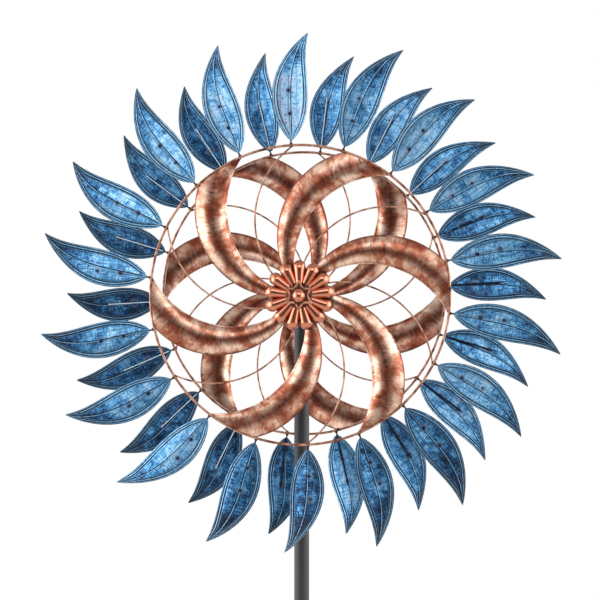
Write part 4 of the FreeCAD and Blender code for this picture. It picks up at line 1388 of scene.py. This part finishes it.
class SCULPTURE_OT_stage(bpy.types.Operator):
    """Makes the floor, the lights, the white room and the camera."""

    bl_idname = "sculpture.stage"
    bl_label = "Stage"

    def execute(self, context):
        look, scene = context.scene.sculpture_stage, context.scene
        low = np.array(CAD_BOX[0]) * MM
        radius, top = look.floor * MM, low[2] - 0.5
        outline = [(top - 12.0, 0.0), (top - 12.0, radius), (top, radius), (top, radius / 2.0), (top, 0.0)]
        data, faces = welded([turned(outline, ORIGIN, UP, sides=96)])[:2]
        mesh = bpy.data.meshes.new("studio_floor")
        mesh.from_pydata(data[:, :3] / MM, [], faces.tolist())
        mesh.materials.append(painted("matt_floor_board"))
        floor = bpy.data.objects.new("studio_floor", mesh)
        scene.collection.objects.link(floor)
        studio_world()
        centre = Vector(CENTRES["front"] / MM)
        for name, place, size, share in (
                ("key_light", (0.2, -2.2, 1.6), (2.8, 1.2), 1.0),
                ("right_light", (2.2, -0.4, 0.5), (0.8, 1.8), 0.4),
                ("left_light", (-2.2, -0.6, 0.1), (0.8, 1.8), 0.6)):
            area_light(name, centre + Vector(place), centre, size, look.key * share)
        camera = bpy.data.cameras.new("camera")
        camera.lens = look.lens
        camera.sensor_width = 36.0
        camera.clip_end = 50.0
        seen = bpy.data.objects.new("camera", camera)
        seen.location = centre + Vector(look.camera)
        aim = centre + Vector(look.aim)
        seen.rotation_euler = (aim - seen.location).to_track_quat("-Z", "Y").to_euler()
        scene.collection.objects.link(seen)
        scene.camera = seen
        scene.view_settings.view_transform = "Standard"
        return {"FINISHED"}


# ---- Add-on

class SCULPTURE_PT_panel(bpy.types.Panel):
    """Lists the sculpture's settings and makers."""

    bl_idname = "SCULPTURE_PT_panel"
    bl_label = "Wind sculpture"
    bl_space_type = "VIEW_3D"
    bl_region_type = "UI"
    bl_category = "Sculpture"

    def draw(self, context):
        for name in SETTINGS:
            box = self.layout.box()
            box.label(text=name.replace("sculpture_", "").capitalize())
            group = getattr(context.scene, name)
            for key in group.__annotations__:
                box.prop(group, key)
        for maker in MAKERS:
            self.layout.operator(maker.bl_idname)


SETTINGS = {
    "sculpture_leaves": LeafSettings,
    "sculpture_wires": WireSettings,
    "sculpture_blades": BladeSettings,
    "sculpture_flower": FlowerSettings,
    "sculpture_stand": StandSettings,
    "sculpture_stage": StageSettings,
}
MAKERS = (
    SCULPTURE_OT_stage,
    SCULPTURE_OT_wires,
    SCULPTURE_OT_blades,
    SCULPTURE_OT_leaves,
    SCULPTURE_OT_flower,
    SCULPTURE_OT_hubs,
    SCULPTURE_OT_axle,
    SCULPTURE_OT_pole,
    SCULPTURE_OT_stake,
)


def register():
    for kind in tuple(SETTINGS.values()) + MAKERS + (SCULPTURE_PT_panel,):
        bpy.utils.register_class(kind)
    for name, kind in SETTINGS.items():
        setattr(bpy.types.Scene, name, bpy.props.PointerProperty(type=kind))


def unregister():
    for name in SETTINGS:
        delattr(bpy.types.Scene, name)
    for kind in (SCULPTURE_PT_panel,) + MAKERS[::-1] + tuple(SETTINGS.values()):
        bpy.utils.unregister_class(kind)


def main():
    register()
    for maker in MAKERS:
        group, name = maker.bl_idname.split(".")
        getattr(getattr(bpy.ops, group), name)()


if __name__ == "__main__":
    main()
